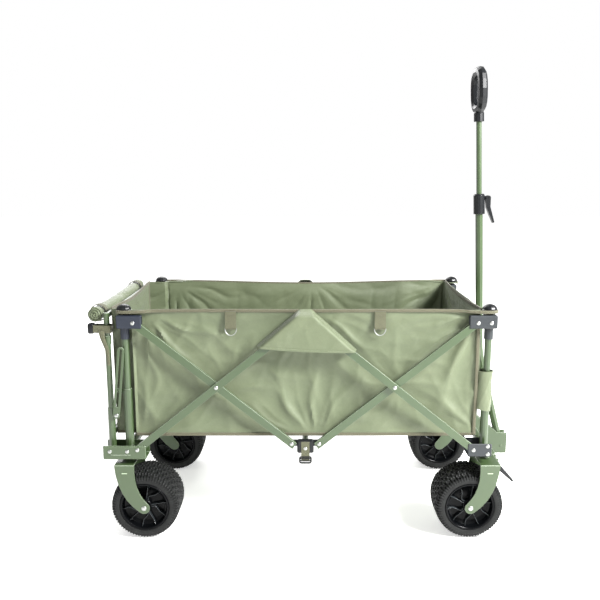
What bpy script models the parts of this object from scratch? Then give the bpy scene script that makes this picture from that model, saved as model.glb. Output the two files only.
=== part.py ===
"""Folding camp wagon: a steel lattice frame on two fixed and two castering wheels,
a fabric liner hung inside it, a drop-down tailgate and a telescoping pull handle.

Metres, +Z up, +X towards the handle, -Y the near side. The wagon stands on Z = 0
and its bounding box is centred on the origin in X and Y.
"""
import math

import bmesh
import bpy
from mathutils import Matrix, Vector

GAP = 0.0003                # between pieces that touch
PIN_PLAY = 0.0004           # radial, round a hinge pin
OPEN_PIVOT_PLAY = 0.0012    # radial, round the pin that closes the lattice

# Side lattice: pivots measured from the middle of the wagon and from the floor
END_X = 0.462
HUB_X = 0.038
LOW_Z = 0.265
HIGH_Z = 0.620
HUB_LIFT = 0.013            # hub pivots sit this much inside the end pivots' heights
BAR_DEEP = 0.020
BAR_THICK = 0.009
BAR_WALL = 0.0012
BAR_TAIL = 0.010            # bar beyond its pivot
LAYER_GAP = 0.001
PIN_R = 0.003
HEAD_R = 0.0052
HEAD_T = 0.0015

# Corner posts, each a tube sliding between an outer tube and a core rod
POST_Y = 0.250
POST_R = 0.012
POST_WALL = 0.002
INNER_WALL = 0.0024
POST_SETBACK_REAR = 0.028
POST_SETBACK_FRONT = 0.0355
POST_TOP_Z = 0.431
CORE_TOP_Z = 0.500
BAR_TO_POST = 0.0035

# Brackets
PLATE = 0.0025
REAR_CHANNEL_X = (-0.0665, 0.0514)      # from the rear post
REAR_CHANNEL_Z = (-0.027, 0.012)        # from the low pivots
FRONT_CHANNEL_X = (-0.0505, 0.0145)     # from the front post
FRONT_CHANNEL_Z = (-0.019, 0.018)
TOP_BRACKET_OUT = 0.0165
TOP_BRACKET_IN = 0.023                  # past the top pivot
TOP_BRACKET_Z = (-0.0155, 0.020)        # from the high pivots
SOCKET_ROOF = 0.0045
COLLAR_R = 0.0125
COLLAR_DROP = 0.033
DOME_R = 0.020
DOME_HIGH = 0.014
DOME_LIFT = 0.013                       # above the bracket, where the rim strap passes
CROSS_R = 0.011

# Wheels and forks
WHEEL_R = 0.095
WHEEL_WIDE = 0.118
WHEEL_Y = 0.227
RIM_R = 0.070
RIM_WIDE = 0.106
RIM_WALL = 0.004
WEB = 0.008
HUB_R = 0.016
AXLE_R = 0.005
ARM = 0.003
ARM_GAP = 0.0025
FORK_TOP = 0.2225
FORK_HALF = 0.0275
FORK_TIP_HALF = 0.0165
TRAIL = 0.0495
REAR_STEM = -0.0095                     # from the rear post
FRONT_STEM = 0.0125                     # from the front post
STEM_R = 0.013
BRAKE_HALF = 0.012
BRAKE_PIN_R = 0.0015

# Tailgate
TAIL_OUT = 0.048                        # behind the rear post
TAIL_PIVOT_Z = 0.261
TAIL_R = 0.010
TAIL_WALL = 0.0015
TAIL_INNER_WALL = 0.0018
TAIL_STAGE_Z = 0.375
TAIL_CORE_Z = 0.500
TAIL_RAIL_LOW = 0.300
TAIL_RAIL_HIGH = 0.635
ROLL_R = 0.0245
STAY_LOW = (0.0176, 0.0964)             # rivet, from the tailgate pivot
STAY_HIGH = (0.0384, 0.2803)
STAY_HALF = 0.0095
STAY_THICK = 0.0022
STUD = (0.0242, 0.1632)                 # slot stud on the post, from the tailgate pivot

# Liner
LINER_LOW = 0.295
LINER_HIGH = 0.652
LINER_WALL = 0.0025
LINER_TO_BAR = 0.0095
LINER_TO_FRONT_POST = 0.0075
LINER_TO_REAR_POST = 0.0045

# Pull handle, in the wagon's middle plane; X from the front post
HANDLE_PIVOT = (0.1205, 0.165)
HANDLE_BEND = (0.0425, 0.460)
HANDLE_TOP = (0.0095, 1.162)
CHANNEL_FRONT = (0.1375, 0.142)
CHANNEL_BACK = (0.0975, 0.2095)
POLE_R = 0.011
POLE_WALL = 0.0016
UPPER_R = 0.0080
UPPER_WALL = 0.0012
CLAMP_Z = 0.9235
CLAMP_R = 0.0165
CLAMP_HALF = 0.0295
UPPER_LOW_Z = 0.665
GRIP_HIGH = 0.155
GRIP_HALF_WIDE = 0.060
GRIP_BAR_R = 0.0135
GRIP_NECK_R = 0.0150
GRIP_NECK = 0.030

GREEN = (0.30, 0.42, 0.27)
FABRIC = (0.36, 0.43, 0.27)
BLACK = (0.025, 0.027, 0.030)
GREY = (0.10, 0.11, 0.12)
RUBBER = (0.03, 0.03, 0.03)

NEAR, FAR = -1, 1
SIDES = ((NEAR, "near"), (FAR, "far"))

# Places worked out from the sizes above
REAR_POST_X = -(END_X + POST_SETBACK_REAR)
FRONT_POST_X = END_X + POST_SETBACK_FRONT
TAIL_X = REAR_POST_X - TAIL_OUT
SPAN_X = END_X - HUB_X
RISE_REAR = (HIGH_Z - LOW_Z) / 2
RISE_HUB = RISE_REAR - HUB_LIFT
CROSS_X = END_X - SPAN_X * RISE_REAR / (RISE_REAR + RISE_HUB)
CROSS_Z = (HIGH_Z + LOW_Z) / 2
HUB_LOW_Z = LOW_Z + HUB_LIFT
HUB_HIGH_Z = HIGH_Z - HUB_LIFT
INNER_Y = POST_Y + POST_R + BAR_TO_POST + BAR_THICK / 2
OUTER_Y = INNER_Y + BAR_THICK + LAYER_GAP
BAR_SWEEP = math.hypot(BAR_TAIL, BAR_DEEP / 2) + 0.001      # what a bar's end needs round its pivot
UPPER_POST_R = POST_R - POST_WALL - GAP
CORE_R = UPPER_POST_R - INNER_WALL - GAP
TAIL_INNER_R = TAIL_R - TAIL_WALL - GAP
TAIL_CORE_R = TAIL_INNER_R - TAIL_INNER_WALL - GAP
CHANNEL_IN_Y = POST_Y - POST_R - GAP - PLATE
CHANNEL_OUT_Y = OUTER_Y + BAR_THICK / 2 + GAP + PLATE
HANDLE_X = FRONT_POST_X + HANDLE_PIVOT[0]
ROLL_X = TAIL_X - TAIL_INNER_R - GAP - ROLL_R
BOX_MIDDLE = (ROLL_X - ROLL_R + FRONT_POST_X + CHANNEL_FRONT[0]) / 2


# ---------------------------------------------------------------- scene and helpers
def clear_scene():
    for obj in list(bpy.data.objects):
        bpy.data.objects.remove(obj, do_unlink=True)


def collection(name):
    made = bpy.data.collections.new(name)
    bpy.context.scene.collection.children.link(made)
    return made


def pivot(name, at, parent=None):
    """An empty at a joint; its place is given in the wagon's own frame."""
    empty = bpy.data.objects.new(name, None)
    empty.empty_display_size = 0.03
    parts.objects.link(empty)
    empty["at"] = at
    if parent is None:
        empty.location = (-BOX_MIDDLE, 0, 0)
    else:
        empty.parent = parent
        empty.location = Vector(at) - Vector(parent["at"])
    return empty


def material(name, colour, roughness, metallic=0.0):
    mat = bpy.data.materials.new(name)
    mat.use_nodes = True
    shader = mat.node_tree.nodes["Principled BSDF"]
    shader.inputs["Base Color"].default_value = (*colour, 1)
    shader.inputs["Roughness"].default_value = roughness
    shader.inputs["Metallic"].default_value = metallic
    mat.diffuse_color = (*colour, 1)
    return mat


def mesh_object(name, bm, at=(0, 0, 0)):
    mesh = bpy.data.meshes.new(name)
    bm.to_mesh(mesh)
    bm.free()
    obj = bpy.data.objects.new(name, mesh)
    obj.location = at
    tools.objects.link(obj)
    obj.parent = wagon
    return obj


def box(low, high, bevel=0.0):
    """A block between two corners."""
    low, high = Vector(low), Vector(high)
    bm = bmesh.new()
    bmesh.ops.create_cube(bm, size=1)
    bmesh.ops.scale(bm, vec=high - low, verts=bm.verts)
    obj = mesh_object("block", bm, (low + high) / 2)
    if bevel:
        add_bevel(obj, bevel)
    return obj


def add_bevel(obj, width, segments=1):
    mod = obj.modifiers.new("edge", "BEVEL")
    mod.width = width
    mod.segments = segments
    mod.limit_method = "ANGLE"


def rod(start, end, radius, sides=12, turn=0.0):
    """A solid round bar between two points; its facets may be turned about its axis."""
    start, end = Vector(start), Vector(end)
    bm = bmesh.new()
    bmesh.ops.create_cone(bm, cap_ends=True, segments=sides, radius1=radius, radius2=radius,
                          depth=(end - start).length, matrix=Matrix.Rotation(turn, 4, "Z"))
    obj = mesh_object("rod", bm, (start + end) / 2)
    obj.rotation_euler = (end - start).to_track_quat("Z", "Y").to_euler()
    return obj


def turned(profile, at, direction=(0, 0, 1), steps=12):
    """A lathe shape: profile points are (radius, height along the axis)."""
    area = sum(a[0] * b[1] - b[0] * a[1] for a, b in zip(profile, profile[1:] + profile[:1]))
    if area > 0:
        profile = profile[::-1]
    bm = bmesh.new()
    verts = [bm.verts.new((r, 0, h)) for r, h in profile]
    for a, b in zip(verts, verts[1:]):
        bm.edges.new((a, b))
    if profile[0][0] > 0 or profile[-1][0] > 0:
        bm.edges.new((verts[-1], verts[0]))
    obj = mesh_object("turned", bm, at)
    screw = obj.modifiers.new("turn", "SCREW")
    screw.steps = screw.render_steps = steps
    screw.use_merge_vertices = True
    screw.merge_threshold = 0.00005
    obj.rotation_euler = Vector(direction).to_track_quat("Z", "Y").to_euler()
    return obj


def ring(outer, inner, low, high):
    """Profile of a straight sleeve."""
    return [(inner, high), (outer, high), (outer, low), (inner, low)]


def cylinder(radius, low, high):
    """Profile of a solid round plug."""
    return [(0, high), (radius, high), (radius, low), (0, low)]


def curve_tube(points, radius, wall=0.0, sides=12, closed=False):
    """A tube along points; solid with caps, or hollow and open where wall is given."""
    curve = bpy.data.curves.new("path", "CURVE")
    curve.dimensions = "3D"
    curve.bevel_depth = radius
    curve.bevel_resolution = sides // 4 - 1
    curve.use_fill_caps = not wall and not closed
    spline = curve.splines.new("POLY")
    spline.points.add(len(points) - 1)
    for slot, point in zip(spline.points, points):
        slot.co = (*point, 1)
    spline.use_cyclic_u = closed
    obj = bpy.data.objects.new("path", curve)
    tools.objects.link(obj)
    obj.parent = wagon
    made = to_mesh(obj)
    if wall:
        mod = made.modifiers.new("wall", "SOLIDIFY")
        mod.thickness = wall
        mod.offset = -1
    return made


def to_mesh(obj):
    """Replace a curve by its welded mesh, so that Boolean modifiers can use it."""
    bpy.context.view_layer.update()
    evaluated = obj.evaluated_get(bpy.context.evaluated_depsgraph_get())
    mesh = bpy.data.meshes.new_from_object(evaluated)
    bm = bmesh.new()
    bm.from_mesh(mesh)
    bmesh.ops.remove_doubles(bm, verts=bm.verts, dist=0.00001)
    bm.to_mesh(mesh)
    bm.free()
    made = bpy.data.objects.new(obj.name, mesh)
    tools.objects.link(made)
    made.parent = wagon
    made.location = obj.location
    made.rotation_euler = obj.rotation_euler
    bpy.data.objects.remove(obj)
    return made


def plate(outline, low_y, high_y):
    """A flat plate: an outline of (x, z) points between two values of y."""
    curve = bpy.data.curves.new("outline", "CURVE")
    curve.dimensions = "2D"
    curve.fill_mode = "BOTH"
    curve.extrude = abs(high_y - low_y) / 2
    spline = curve.splines.new("POLY")
    spline.points.add(len(outline) - 1)
    for slot, (x, z) in zip(spline.points, outline):
        slot.co = (x, z, 0, 1)
    spline.use_cyclic_u = True
    obj = bpy.data.objects.new("outline", curve)
    tools.objects.link(obj)
    obj.parent = wagon
    obj.location = (0, (low_y + high_y) / 2, 0)
    obj.rotation_euler = (math.pi / 2, 0, 0)
    return to_mesh(obj)


def arc(centre, radius, start, end, count):
    """Points on an arc in degrees, anticlockwise from +X."""
    angles = [math.radians(start + (end - start) * i / count) for i in range(count + 1)]
    return [(centre[0] + radius * math.cos(a), centre[1] + radius * math.sin(a)) for a in angles]


def boolean(obj, tool, operation):
    tool.hide_render = True
    tool.display_type = "WIRE"
    mod = obj.modifiers.new(operation.lower(), "BOOLEAN")
    mod.operation = operation
    mod.object = tool
    mod.solver = "EXACT"


def join(obj, *others):
    for other in others:
        boolean(obj, other, "UNION")
    return obj


def cut(obj, *others):
    for other in others:
        boolean(obj, other, "DIFFERENCE")
    return obj


def node(obj, name, mat, parent):
    """Turn a finished shape into a named part under its joint's empty."""
    tools.objects.unlink(obj)
    parts.objects.link(obj)
    obj.name = name
    if any(mod.type == "BOOLEAN" for mod in obj.modifiers):
        weld = obj.modifiers.new("weld", "WELD")
        weld.merge_threshold = 0.00002
    obj.data.materials.clear()
    obj.data.materials.append(mat)
    obj.location = obj.location - Vector(parent["at"])
    obj.parent = parent
    obj.data.set_sharp_from_angle(angle=math.radians(35))
    return obj


def side_y(side, low, high):
    """Low and high y of a span that is given outwards from the middle plane."""
    return sorted((side * low, side * high))


def side_box(side, x, y, z, bevel=0.0):
    low_y, high_y = side_y(side, *y)
    return box((x[0], low_y, z[0]), (x[1], high_y, z[1]), bevel)


def cross_pin(side, x, z, y_in, y_out, radius=PIN_R):
    return rod((x, side * y_in, z), (x, side * y_out, z), radius, 8, 0.13)


def head(side, x, z, y, radius=HEAD_R, high=HEAD_T):
    """A low domed rivet head that stands out from a face at y."""
    profile = [(0, high), (radius * 0.6, high * 0.85), (radius, 0), (0, 0)]
    return turned(profile, (x, side * y, z), (0, side, 0), 10)


# ---------------------------------------------------------------- frame
def channel(side, post_x, x, z, pins):
    """A corner channel, open at both ends and on top, with its cross pins."""
    x0, x1 = post_x + x[0], post_x + x[1]
    z0, z1 = LOW_Z + z[0], LOW_Z + z[1]
    body = side_box(side, (x0, x1), (CHANNEL_IN_Y, CHANNEL_OUT_Y), (z0, z1), 0.002)
    cut(body, side_box(side, (x0 - PLATE, x1 + PLATE),
                       (CHANNEL_IN_Y + PLATE, CHANNEL_OUT_Y - PLATE), (z0 + PLATE, z1 + PLATE)))
    for px, pz, through in pins:
        join(body, head(side, px, pz, CHANNEL_OUT_Y - HEAD_T / 4))
        if through:
            join(body, cross_pin(side, px, pz, CHANNEL_IN_Y + PLATE / 2, CHANNEL_OUT_Y - PLATE / 2))
    return body


def rear_lower_frame():
    """Both rear channels welded to the rear cross tube."""
    frame = rod((REAR_POST_X, -CHANNEL_IN_Y - PLATE / 2, LOW_Z - 0.007),
                (REAR_POST_X, CHANNEL_IN_Y + PLATE / 2, LOW_Z - 0.007), CROSS_R, 16)
    for side, _ in SIDES:
        pins = ((TAIL_X, TAIL_PIVOT_Z, True), (REAR_POST_X, TAIL_PIVOT_Z, False), (-END_X, LOW_Z, True))
        join(frame, channel(side, REAR_POST_X, REAR_CHANNEL_X, REAR_CHANNEL_Z, pins))
        rib_x = REAR_POST_X - 0.018
        join(frame, side_box(side, (rib_x - 0.027, rib_x + 0.027),
                             (CHANNEL_OUT_Y - PLATE / 2, CHANNEL_OUT_Y + 0.0008),
                             (LOW_Z - 0.0155, LOW_Z - 0.0135)))
    node(frame, "rear_lower_frame", green, wagon)


def lower_post(side, name, post_x, floor_z, parent, ear=False):
    """Outer tube and core rod on one base plug."""
    low = floor_z + GAP
    profile = [(0, CORE_TOP_Z), (CORE_R, CORE_TOP_Z), (CORE_R, low + 0.002),
               (POST_R - POST_WALL, low + 0.002), (POST_R - POST_WALL, POST_TOP_Z),
               (POST_R, POST_TOP_Z), (POST_R, low), (0, low)]
    post = turned(profile, (post_x, side * POST_Y, 0))
    if ear:
        x, z = TAIL_X + STUD[0], TAIL_PIVOT_Z + STUD[1]
        lug = side_box(side, (x - 0.006, post_x - POST_R + POST_WALL / 2),
                       (POST_Y - 0.002, POST_Y + 0.002), (z - 0.006, z + 0.006))
        stud = rod((x, side * POST_Y, z), (x, side * (POST_Y + POST_R + 0.0015), z), 0.0025)
        join(post, lug, stud)
    node(post, name, green, parent)


def top_bracket(side, name, post_x, pivot_x, mat, parent):
    """Moulded corner: post socket and collar, with two cheeks round the bar's end."""
    inward = 1 if pivot_x > post_x else -1
    z0, z1 = HIGH_Z + TOP_BRACKET_Z[0], HIGH_Z + TOP_BRACKET_Z[1]
    cheek_y = POST_Y + POST_R + GAP
    outer_y = INNER_Y + BAR_THICK / 2 + GAP
    out_x = post_x - inward * TOP_BRACKET_OUT
    in_x = pivot_x + inward * TOP_BRACKET_IN
    socket_x = post_x + inward * (POST_R + 0.0025)
    socket = side_box(side, sorted((out_x, socket_x)), (POST_Y - POST_R - PLATE, outer_y + PLATE),
                      (z0, z1), 0.0025)
    join(socket, side_box(side, sorted((post_x, in_x)), (cheek_y, outer_y + PLATE), (z0, z1), 0.002))
    slot = side_box(side, sorted((pivot_x - inward * BAR_SWEEP, in_x + inward * PLATE)),
                    (cheek_y + PLATE, outer_y), (z0 - PLATE, z1 - PLATE))
    cut(socket, slot)
    join(socket, turned(ring(COLLAR_R, CORE_R, z0 - COLLAR_DROP, z0 + 0.001),
                        (post_x, side * POST_Y, 0)))
    cut(socket, turned(cylinder(UPPER_POST_R + GAP, z0 - COLLAR_DROP - 0.001, z1 - SOCKET_ROOF),
                       (post_x, side * POST_Y, 0)))
    join(socket, cross_pin(side, pivot_x, HIGH_Z, cheek_y + PLATE / 2, outer_y + PLATE / 2),
         head(side, pivot_x, HIGH_Z, outer_y + PLATE - HEAD_T / 4))
    if inward < 0:
        join(socket, head(side, post_x, HIGH_Z, outer_y + PLATE - HEAD_T / 4))
    node(socket, name, mat, parent)


def upper_post(side, name, post_x, floor_z, parent):
    top = HIGH_Z + TOP_BRACKET_Z[1] - SOCKET_ROOF - GAP
    low = floor_z + 0.002 + 2 * GAP
    tube = turned(ring(UPPER_POST_R, UPPER_POST_R - INNER_WALL, low, top),
                  (post_x, side * POST_Y, 0))
    node(tube, name, green, parent)


def dome(side, name, post_x, parent):
    """Mushroom cap on a short foot; the rim strap passes under its edge."""
    z0 = HIGH_Z + TOP_BRACKET_Z[1] + GAP
    z1 = z0 + DOME_LIFT
    crown = arc((0, 0), 1, 90, 10, 5)
    cap = [(DOME_R * x, z1 + DOME_HIGH * z) for x, z in crown]
    profile = cap + [(DOME_R, z1), (0.008, z1), (0.008, z0), (0, z0)]
    node(turned(profile, (post_x, side * POST_Y, 0)), name, black, parent)


def bar(side, name, start, end, layer_y, parent, own_pin=None, hole=(), play=PIN_PLAY):
    """A box tube in the lattice. It may carry its own crossing pin, and has holes."""
    start, end = Vector((start[0], 0, start[1])), Vector((end[0], 0, end[1]))
    along = (end - start).normalized()
    length = (end - start).length + 2 * BAR_TAIL
    bm = bmesh.new()
    bmesh.ops.create_cube(bm, size=1)
    bmesh.ops.scale(bm, vec=(length, BAR_THICK, BAR_DEEP), verts=bm.verts)
    ends = [f for f in bm.faces if abs(f.normal.x) > 0.9]
    bmesh.ops.delete(bm, geom=ends, context="FACES_ONLY")
    middle = (start + end) / 2
    obj = mesh_object("bar", bm, (middle.x, side * layer_y, middle.z))
    obj.rotation_euler = (0, -math.atan2(along.z, along.x), 0)
    wall = obj.modifiers.new("wall", "SOLIDIFY")
    wall.thickness = BAR_WALL
    wall.offset = -1
    y_in, y_out = layer_y - BAR_THICK, layer_y + BAR_THICK
    for index, (x, z) in enumerate(hole):
        radius = PIN_R + (play if index == 0 else PIN_PLAY)
        cut(obj, cross_pin(side, x, z, y_in, y_out, radius))
    if own_pin:
        x, z = own_pin
        y_tail = INNER_Y - BAR_THICK / 2 - GAP - HEAD_T
        join(obj, cross_pin(side, x, z, y_tail + HEAD_T / 2, OUTER_Y),
             head(side, x, z, OUTER_Y + BAR_THICK / 2 - HEAD_T / 4),
             cross_pin(side, x, z, y_tail, y_tail + HEAD_T, HEAD_R))
    node(obj, name, green, parent)


def hub(side, name, z, layer_y, parent):
    """Middle hub of the lattice: back plate, core block and two headed pins."""
    face_in, face_out = layer_y - BAR_THICK / 2 - GAP, layer_y + BAR_THICK / 2 + GAP
    up = 1 if z < CROSS_Z else -1
    low, high = sorted((z - up * 0.027, z + up * 0.012))
    core = side_box(side, (-HUB_X + BAR_SWEEP, HUB_X - BAR_SWEEP), (face_in - ARM, face_out + HEAD_T),
                    (low, high), 0.004)
    wide = HUB_X + 0.009
    join(core, side_box(side, (-wide, wide), (face_in - ARM * 0.8, face_in), (z - 0.009, z + 0.009)))
    for x in (-HUB_X, HUB_X):
        join(core, cross_pin(side, x, z, face_in - ARM / 2, face_out + HEAD_T / 2),
             head(side, x, z, face_out))
    node(core, name, black, parent)


# ---------------------------------------------------------------- wheels
def fork(side, name, stem_x, lean, plate_top, parent, brake=False):
    """Top plate, stem, two curved tapering arms and the axle, as one weldment.

    A braked fork also has the lever's two ears and their pin on its front edge.
    """
    axle_x = stem_x + lean * TRAIL
    outer = WHEEL_Y + WHEEL_WIDE / 2 + ARM_GAP
    inner = WHEEL_Y - WHEEL_WIDE / 2 - ARM_GAP
    under = FORK_TOP - ARM

    arm_top = FORK_TOP - ARM / 2

    def centre(t):
        """Quadratic curve: straight down from the stem, then over to the axle."""
        x = (1 - t) ** 2 * stem_x + 2 * t * (1 - t) * stem_x + t ** 2 * axle_x
        z = (1 - t) ** 2 * arm_top + 2 * t * (1 - t) * (arm_top * 0.62) + t ** 2 * WHEEL_R
        return x, z

    left, right = [], []
    steps = 6
    for i in range(steps + 1):
        t = i / steps
        x, z = centre(t)
        x2, z2 = centre(min(t + 0.01, 1.0))
        x1, z1 = centre(max(t - 0.01, 0.0))
        length = math.hypot(x2 - x1, z2 - z1)
        nx, nz = (z2 - z1) / length, -(x2 - x1) / length
        if i == 0:
            nx, nz = -1, 0
        half = FORK_HALF + (FORK_TIP_HALF - FORK_HALF) * t
        left.append((x + nx * half, z + nz * half))
        right.append((x - nx * half, z - nz * half))
    tip = []
    base = math.degrees(math.atan2(left[-1][1] - WHEEL_R, left[-1][0] - axle_x))
    for i in range(1, 6):
        angle = math.radians(base + 180 * i / 6)
        tip.append((axle_x + FORK_TIP_HALF * math.cos(angle), WHEEL_R + FORK_TIP_HALF * math.sin(angle)))
    outline = left + tip + right[::-1]
    arm_out = plate(outline, *side_y(side, outer, outer + ARM))
    arm_in = plate(outline, *side_y(side, inner - ARM, inner))
    lap = 0.0005
    top = side_box(side, (stem_x - FORK_HALF + lap, stem_x + FORK_HALF - lap),
                   (inner - ARM + lap, outer + ARM - lap), (under, FORK_TOP))
    bottom = plate_top - 0.004
    stem = rod((stem_x, side * WHEEL_Y, under + ARM / 2), (stem_x, side * WHEEL_Y, plate_top), STEM_R, 16)
    cap = side_box(side, (stem_x - 0.020, stem_x + 0.020), (WHEEL_Y - 0.020, POST_Y + 0.010),
                   (bottom, plate_top), 0.001)
    axle = cross_pin(side, axle_x, WHEEL_R, inner - ARM / 2, outer + ARM / 2, AXLE_R)
    join(top, arm_out, arm_in, stem, cap, axle,
         head(side, axle_x, WHEEL_R, outer + ARM - HEAD_T / 4, AXLE_R + 0.0015))
    if brake:
        pin_x, pin_z = brake_pin(stem_x)
        ear_y = BRAKE_HALF + GAP
        for low_y in (WHEEL_Y - ear_y - PLATE, WHEEL_Y + ear_y):
            join(top, side_box(side, (stem_x + FORK_HALF - 0.004, pin_x + 0.004), (low_y, low_y + PLATE),
                               (pin_z - 0.004, FORK_TOP - 0.001)))
        join(top, cross_pin(side, pin_x, pin_z, WHEEL_Y - ear_y - PLATE / 2, WHEEL_Y + ear_y + PLATE / 2,
                            BRAKE_PIN_R))
    node(top, name, green, parent)
    return axle_x


def brake_pin(stem_x):
    return stem_x + FORK_HALF + 0.0045, FORK_TOP - 0.012


def wheel(side, end, axle_x, parent):
    """Block tyre on a moulded rim; the rim turns on the fork's axle."""
    half = WHEEL_WIDE / 2
    seat = RIM_R
    tyre = [(seat, RIM_WIDE / 2), (WHEEL_R - 0.009, half), (WHEEL_R - 0.003, half - 0.005),
            (WHEEL_R, half - 0.022), (WHEEL_R, 0.022 - half), (WHEEL_R - 0.003, 0.005 - half),
            (WHEEL_R - 0.009, -half), (seat, -RIM_WIDE / 2)]
    at = (axle_x, side * WHEEL_Y, WHEEL_R)
    node(turned(tyre, at, (0, 1, 0), 24), f"{end}_tyre_{side_name(side)}", rubber, parent)
    edge = seat - GAP
    bore = AXLE_R + PIN_PLAY
    barrel = edge - RIM_WALL
    wide = RIM_WIDE / 2
    hub_wide = half - 0.0005
    rim = [(bore, hub_wide), (HUB_R, hub_wide), (HUB_R, WEB / 2), (barrel, WEB / 2), (barrel, wide),
           (edge, wide), (edge, -wide), (barrel, -wide), (barrel, -WEB / 2), (HUB_R, -WEB / 2),
           (HUB_R, -hub_wide), (bore, -hub_wide)]
    node(turned(rim, at, (0, 1, 0), 24), f"{end}_rim_{side_name(side)}", black, parent)


def side_name(side):
    return "near" if side == NEAR else "far"


def brake_lever(side, stem_x, fork_pivot):
    """Foot lever behind the caster's top plate, hinged on its edge."""
    x, z = brake_pin(stem_x)
    empty = pivot(f"brake_hinge_{side_name(side)}", (x, side * WHEEL_Y, z), fork_pivot)
    outline = [(x - 0.0035, z + 0.0035), (x + 0.0035, z + 0.0035), (x + 0.016, z - 0.018),
               (x + 0.050, z - 0.056), (x + 0.046, z - 0.061), (x + 0.007, z - 0.026)]
    lever = plate(outline, *side_y(side, WHEEL_Y - BRAKE_HALF, WHEEL_Y + BRAKE_HALF))
    cut(lever, cross_pin(side, x, z, WHEEL_Y - 2 * BRAKE_HALF, WHEEL_Y + 2 * BRAKE_HALF,
                         BRAKE_PIN_R + PIN_PLAY))
    node(lever, f"brake_lever_{side_name(side)}", black, empty)


# ---------------------------------------------------------------- tailgate
def tailgate():
    """A lower frame hinged in the rear channels, and an upper frame that slides in it."""
    hinge = pivot("tailgate_hinge", (TAIL_X, 0, TAIL_PIVOT_Z), wagon)
    foot = TAIL_PIVOT_Z - TAIL_R
    plug = foot + 0.026
    lower = rod((TAIL_X, -POST_Y, TAIL_RAIL_LOW), (TAIL_X, POST_Y, TAIL_RAIL_LOW), TAIL_R - 0.002)
    for side, _ in SIDES:
        at = (TAIL_X, side * POST_Y, 0)
        join(lower, turned(cylinder(TAIL_R, foot, TAIL_STAGE_Z), at))
        cut(lower, turned(cylinder(TAIL_R - TAIL_WALL, plug, TAIL_STAGE_Z + 0.01), at),
            cross_pin(side, TAIL_X, TAIL_PIVOT_Z, POST_Y - 0.02, POST_Y + 0.02, PIN_R + PIN_PLAY))
        join(lower, turned(cylinder(TAIL_CORE_R, plug - 0.005, TAIL_CORE_Z), at))
        x, z = TAIL_X + STAY_LOW[0], TAIL_PIVOT_Z + STAY_LOW[1]
        ear = side_box(side, (TAIL_X + TAIL_R - TAIL_WALL / 2, x + 0.005),
                       (POST_Y - 0.0015, POST_Y + 0.0015), (z - 0.006, z + 0.006))
        stay_y = stay_span()
        pin = cross_pin(side, x, z, POST_Y, stay_y[1] + GAP + HEAD_T / 2, 0.0025)
        rivet = head(side, x, z, stay_y[1] + GAP, 0.0045)
        join(lower, ear, pin, rivet)
    node(lower, "tailgate_lower_frame", green, hinge)

    slide = pivot("tailgate_slide", (TAIL_X, 0, TAIL_RAIL_HIGH), hinge)
    low = plug + 2 * GAP
    rail_r = TAIL_INNER_R - GAP
    upper = rod((TAIL_X, -POST_Y, TAIL_RAIL_HIGH), (TAIL_X, POST_Y, TAIL_RAIL_HIGH), rail_r)
    for side, _ in SIDES:
        high = TAIL_RAIL_HIGH + TAIL_INNER_R + GAP
        bore = TAIL_INNER_R - TAIL_INNER_WALL
        profile = [(0, high), (TAIL_INNER_R, high), (TAIL_INNER_R, low), (bore, low),
                   (bore, TAIL_CORE_Z + 0.004), (0, TAIL_CORE_Z + 0.004)]
        collar = turned(ring(TAIL_INNER_R + 0.0022, TAIL_INNER_R - 0.001, 0.557, 0.580),
                        (TAIL_X, side * POST_Y, 0))
        join(upper, turned(profile, (TAIL_X, side * POST_Y, 0)), collar)
    node(upper, "tailgate_upper_frame", green, slide)

    for side, _ in SIDES:
        stay(side, hinge)

    flat_y = POST_Y - POST_R - 0.006
    panel_x = TAIL_X + TAIL_INNER_R + GAP
    panel = box((panel_x, -flat_y, LINER_LOW), (panel_x + LINER_WALL, flat_y, LINER_HIGH))
    node(panel, "tailgate_panel", fabric, slide)
    roll = rod((ROLL_X, -POST_Y, TAIL_RAIL_HIGH + 0.002), (ROLL_X, POST_Y, TAIL_RAIL_HIGH + 0.002),
               ROLL_R, 16)
    add_bevel(roll, 0.006)
    node(roll, "tailgate_roll", fabric, slide)


def stay_span():
    """The stay's two y faces, between the post and the bars."""
    low = POST_Y + POST_R + 0.0018
    return low, low + STAY_THICK


def stay(side, hinge):
    """Slotted stay: riveted to the tailgate, guided by the stud on the post."""
    low = Vector((TAIL_X + STAY_LOW[0], TAIL_PIVOT_Z + STAY_LOW[1]))
    high = Vector((TAIL_X + STAY_HIGH[0], TAIL_PIVOT_Z + STAY_HIGH[1]))
    lean = math.degrees(math.atan2(high.y - low.y, high.x - low.x))

    def slot_outline(a, b, half, count):
        return arc(a, half, lean + 90, lean + 270, count) + arc(b, half, lean - 90, lean + 90, count)

    empty = pivot(f"stay_hinge_{side_name(side)}", (low.x, side * POST_Y, low.y), hinge)
    y = side_y(side, *stay_span())
    body = plate(slot_outline(low, high, STAY_HALF, 6), *y)
    along = (high - low).normalized()
    slot_low, slot_high = low + along * 0.0275, high + along * 0.001
    cut(body, plate(slot_outline(slot_low, slot_high, 0.0032, 4), y[0] - PLATE, y[1] + PLATE),
        cross_pin(side, low.x, low.y, y_abs(y) - 0.02, y_abs(y) + 0.02, 0.0025 + PIN_PLAY))
    node(body, f"tailgate_stay_{side_name(side)}", green, empty)


def y_abs(pair):
    return (abs(pair[0]) + abs(pair[1])) / 2


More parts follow.
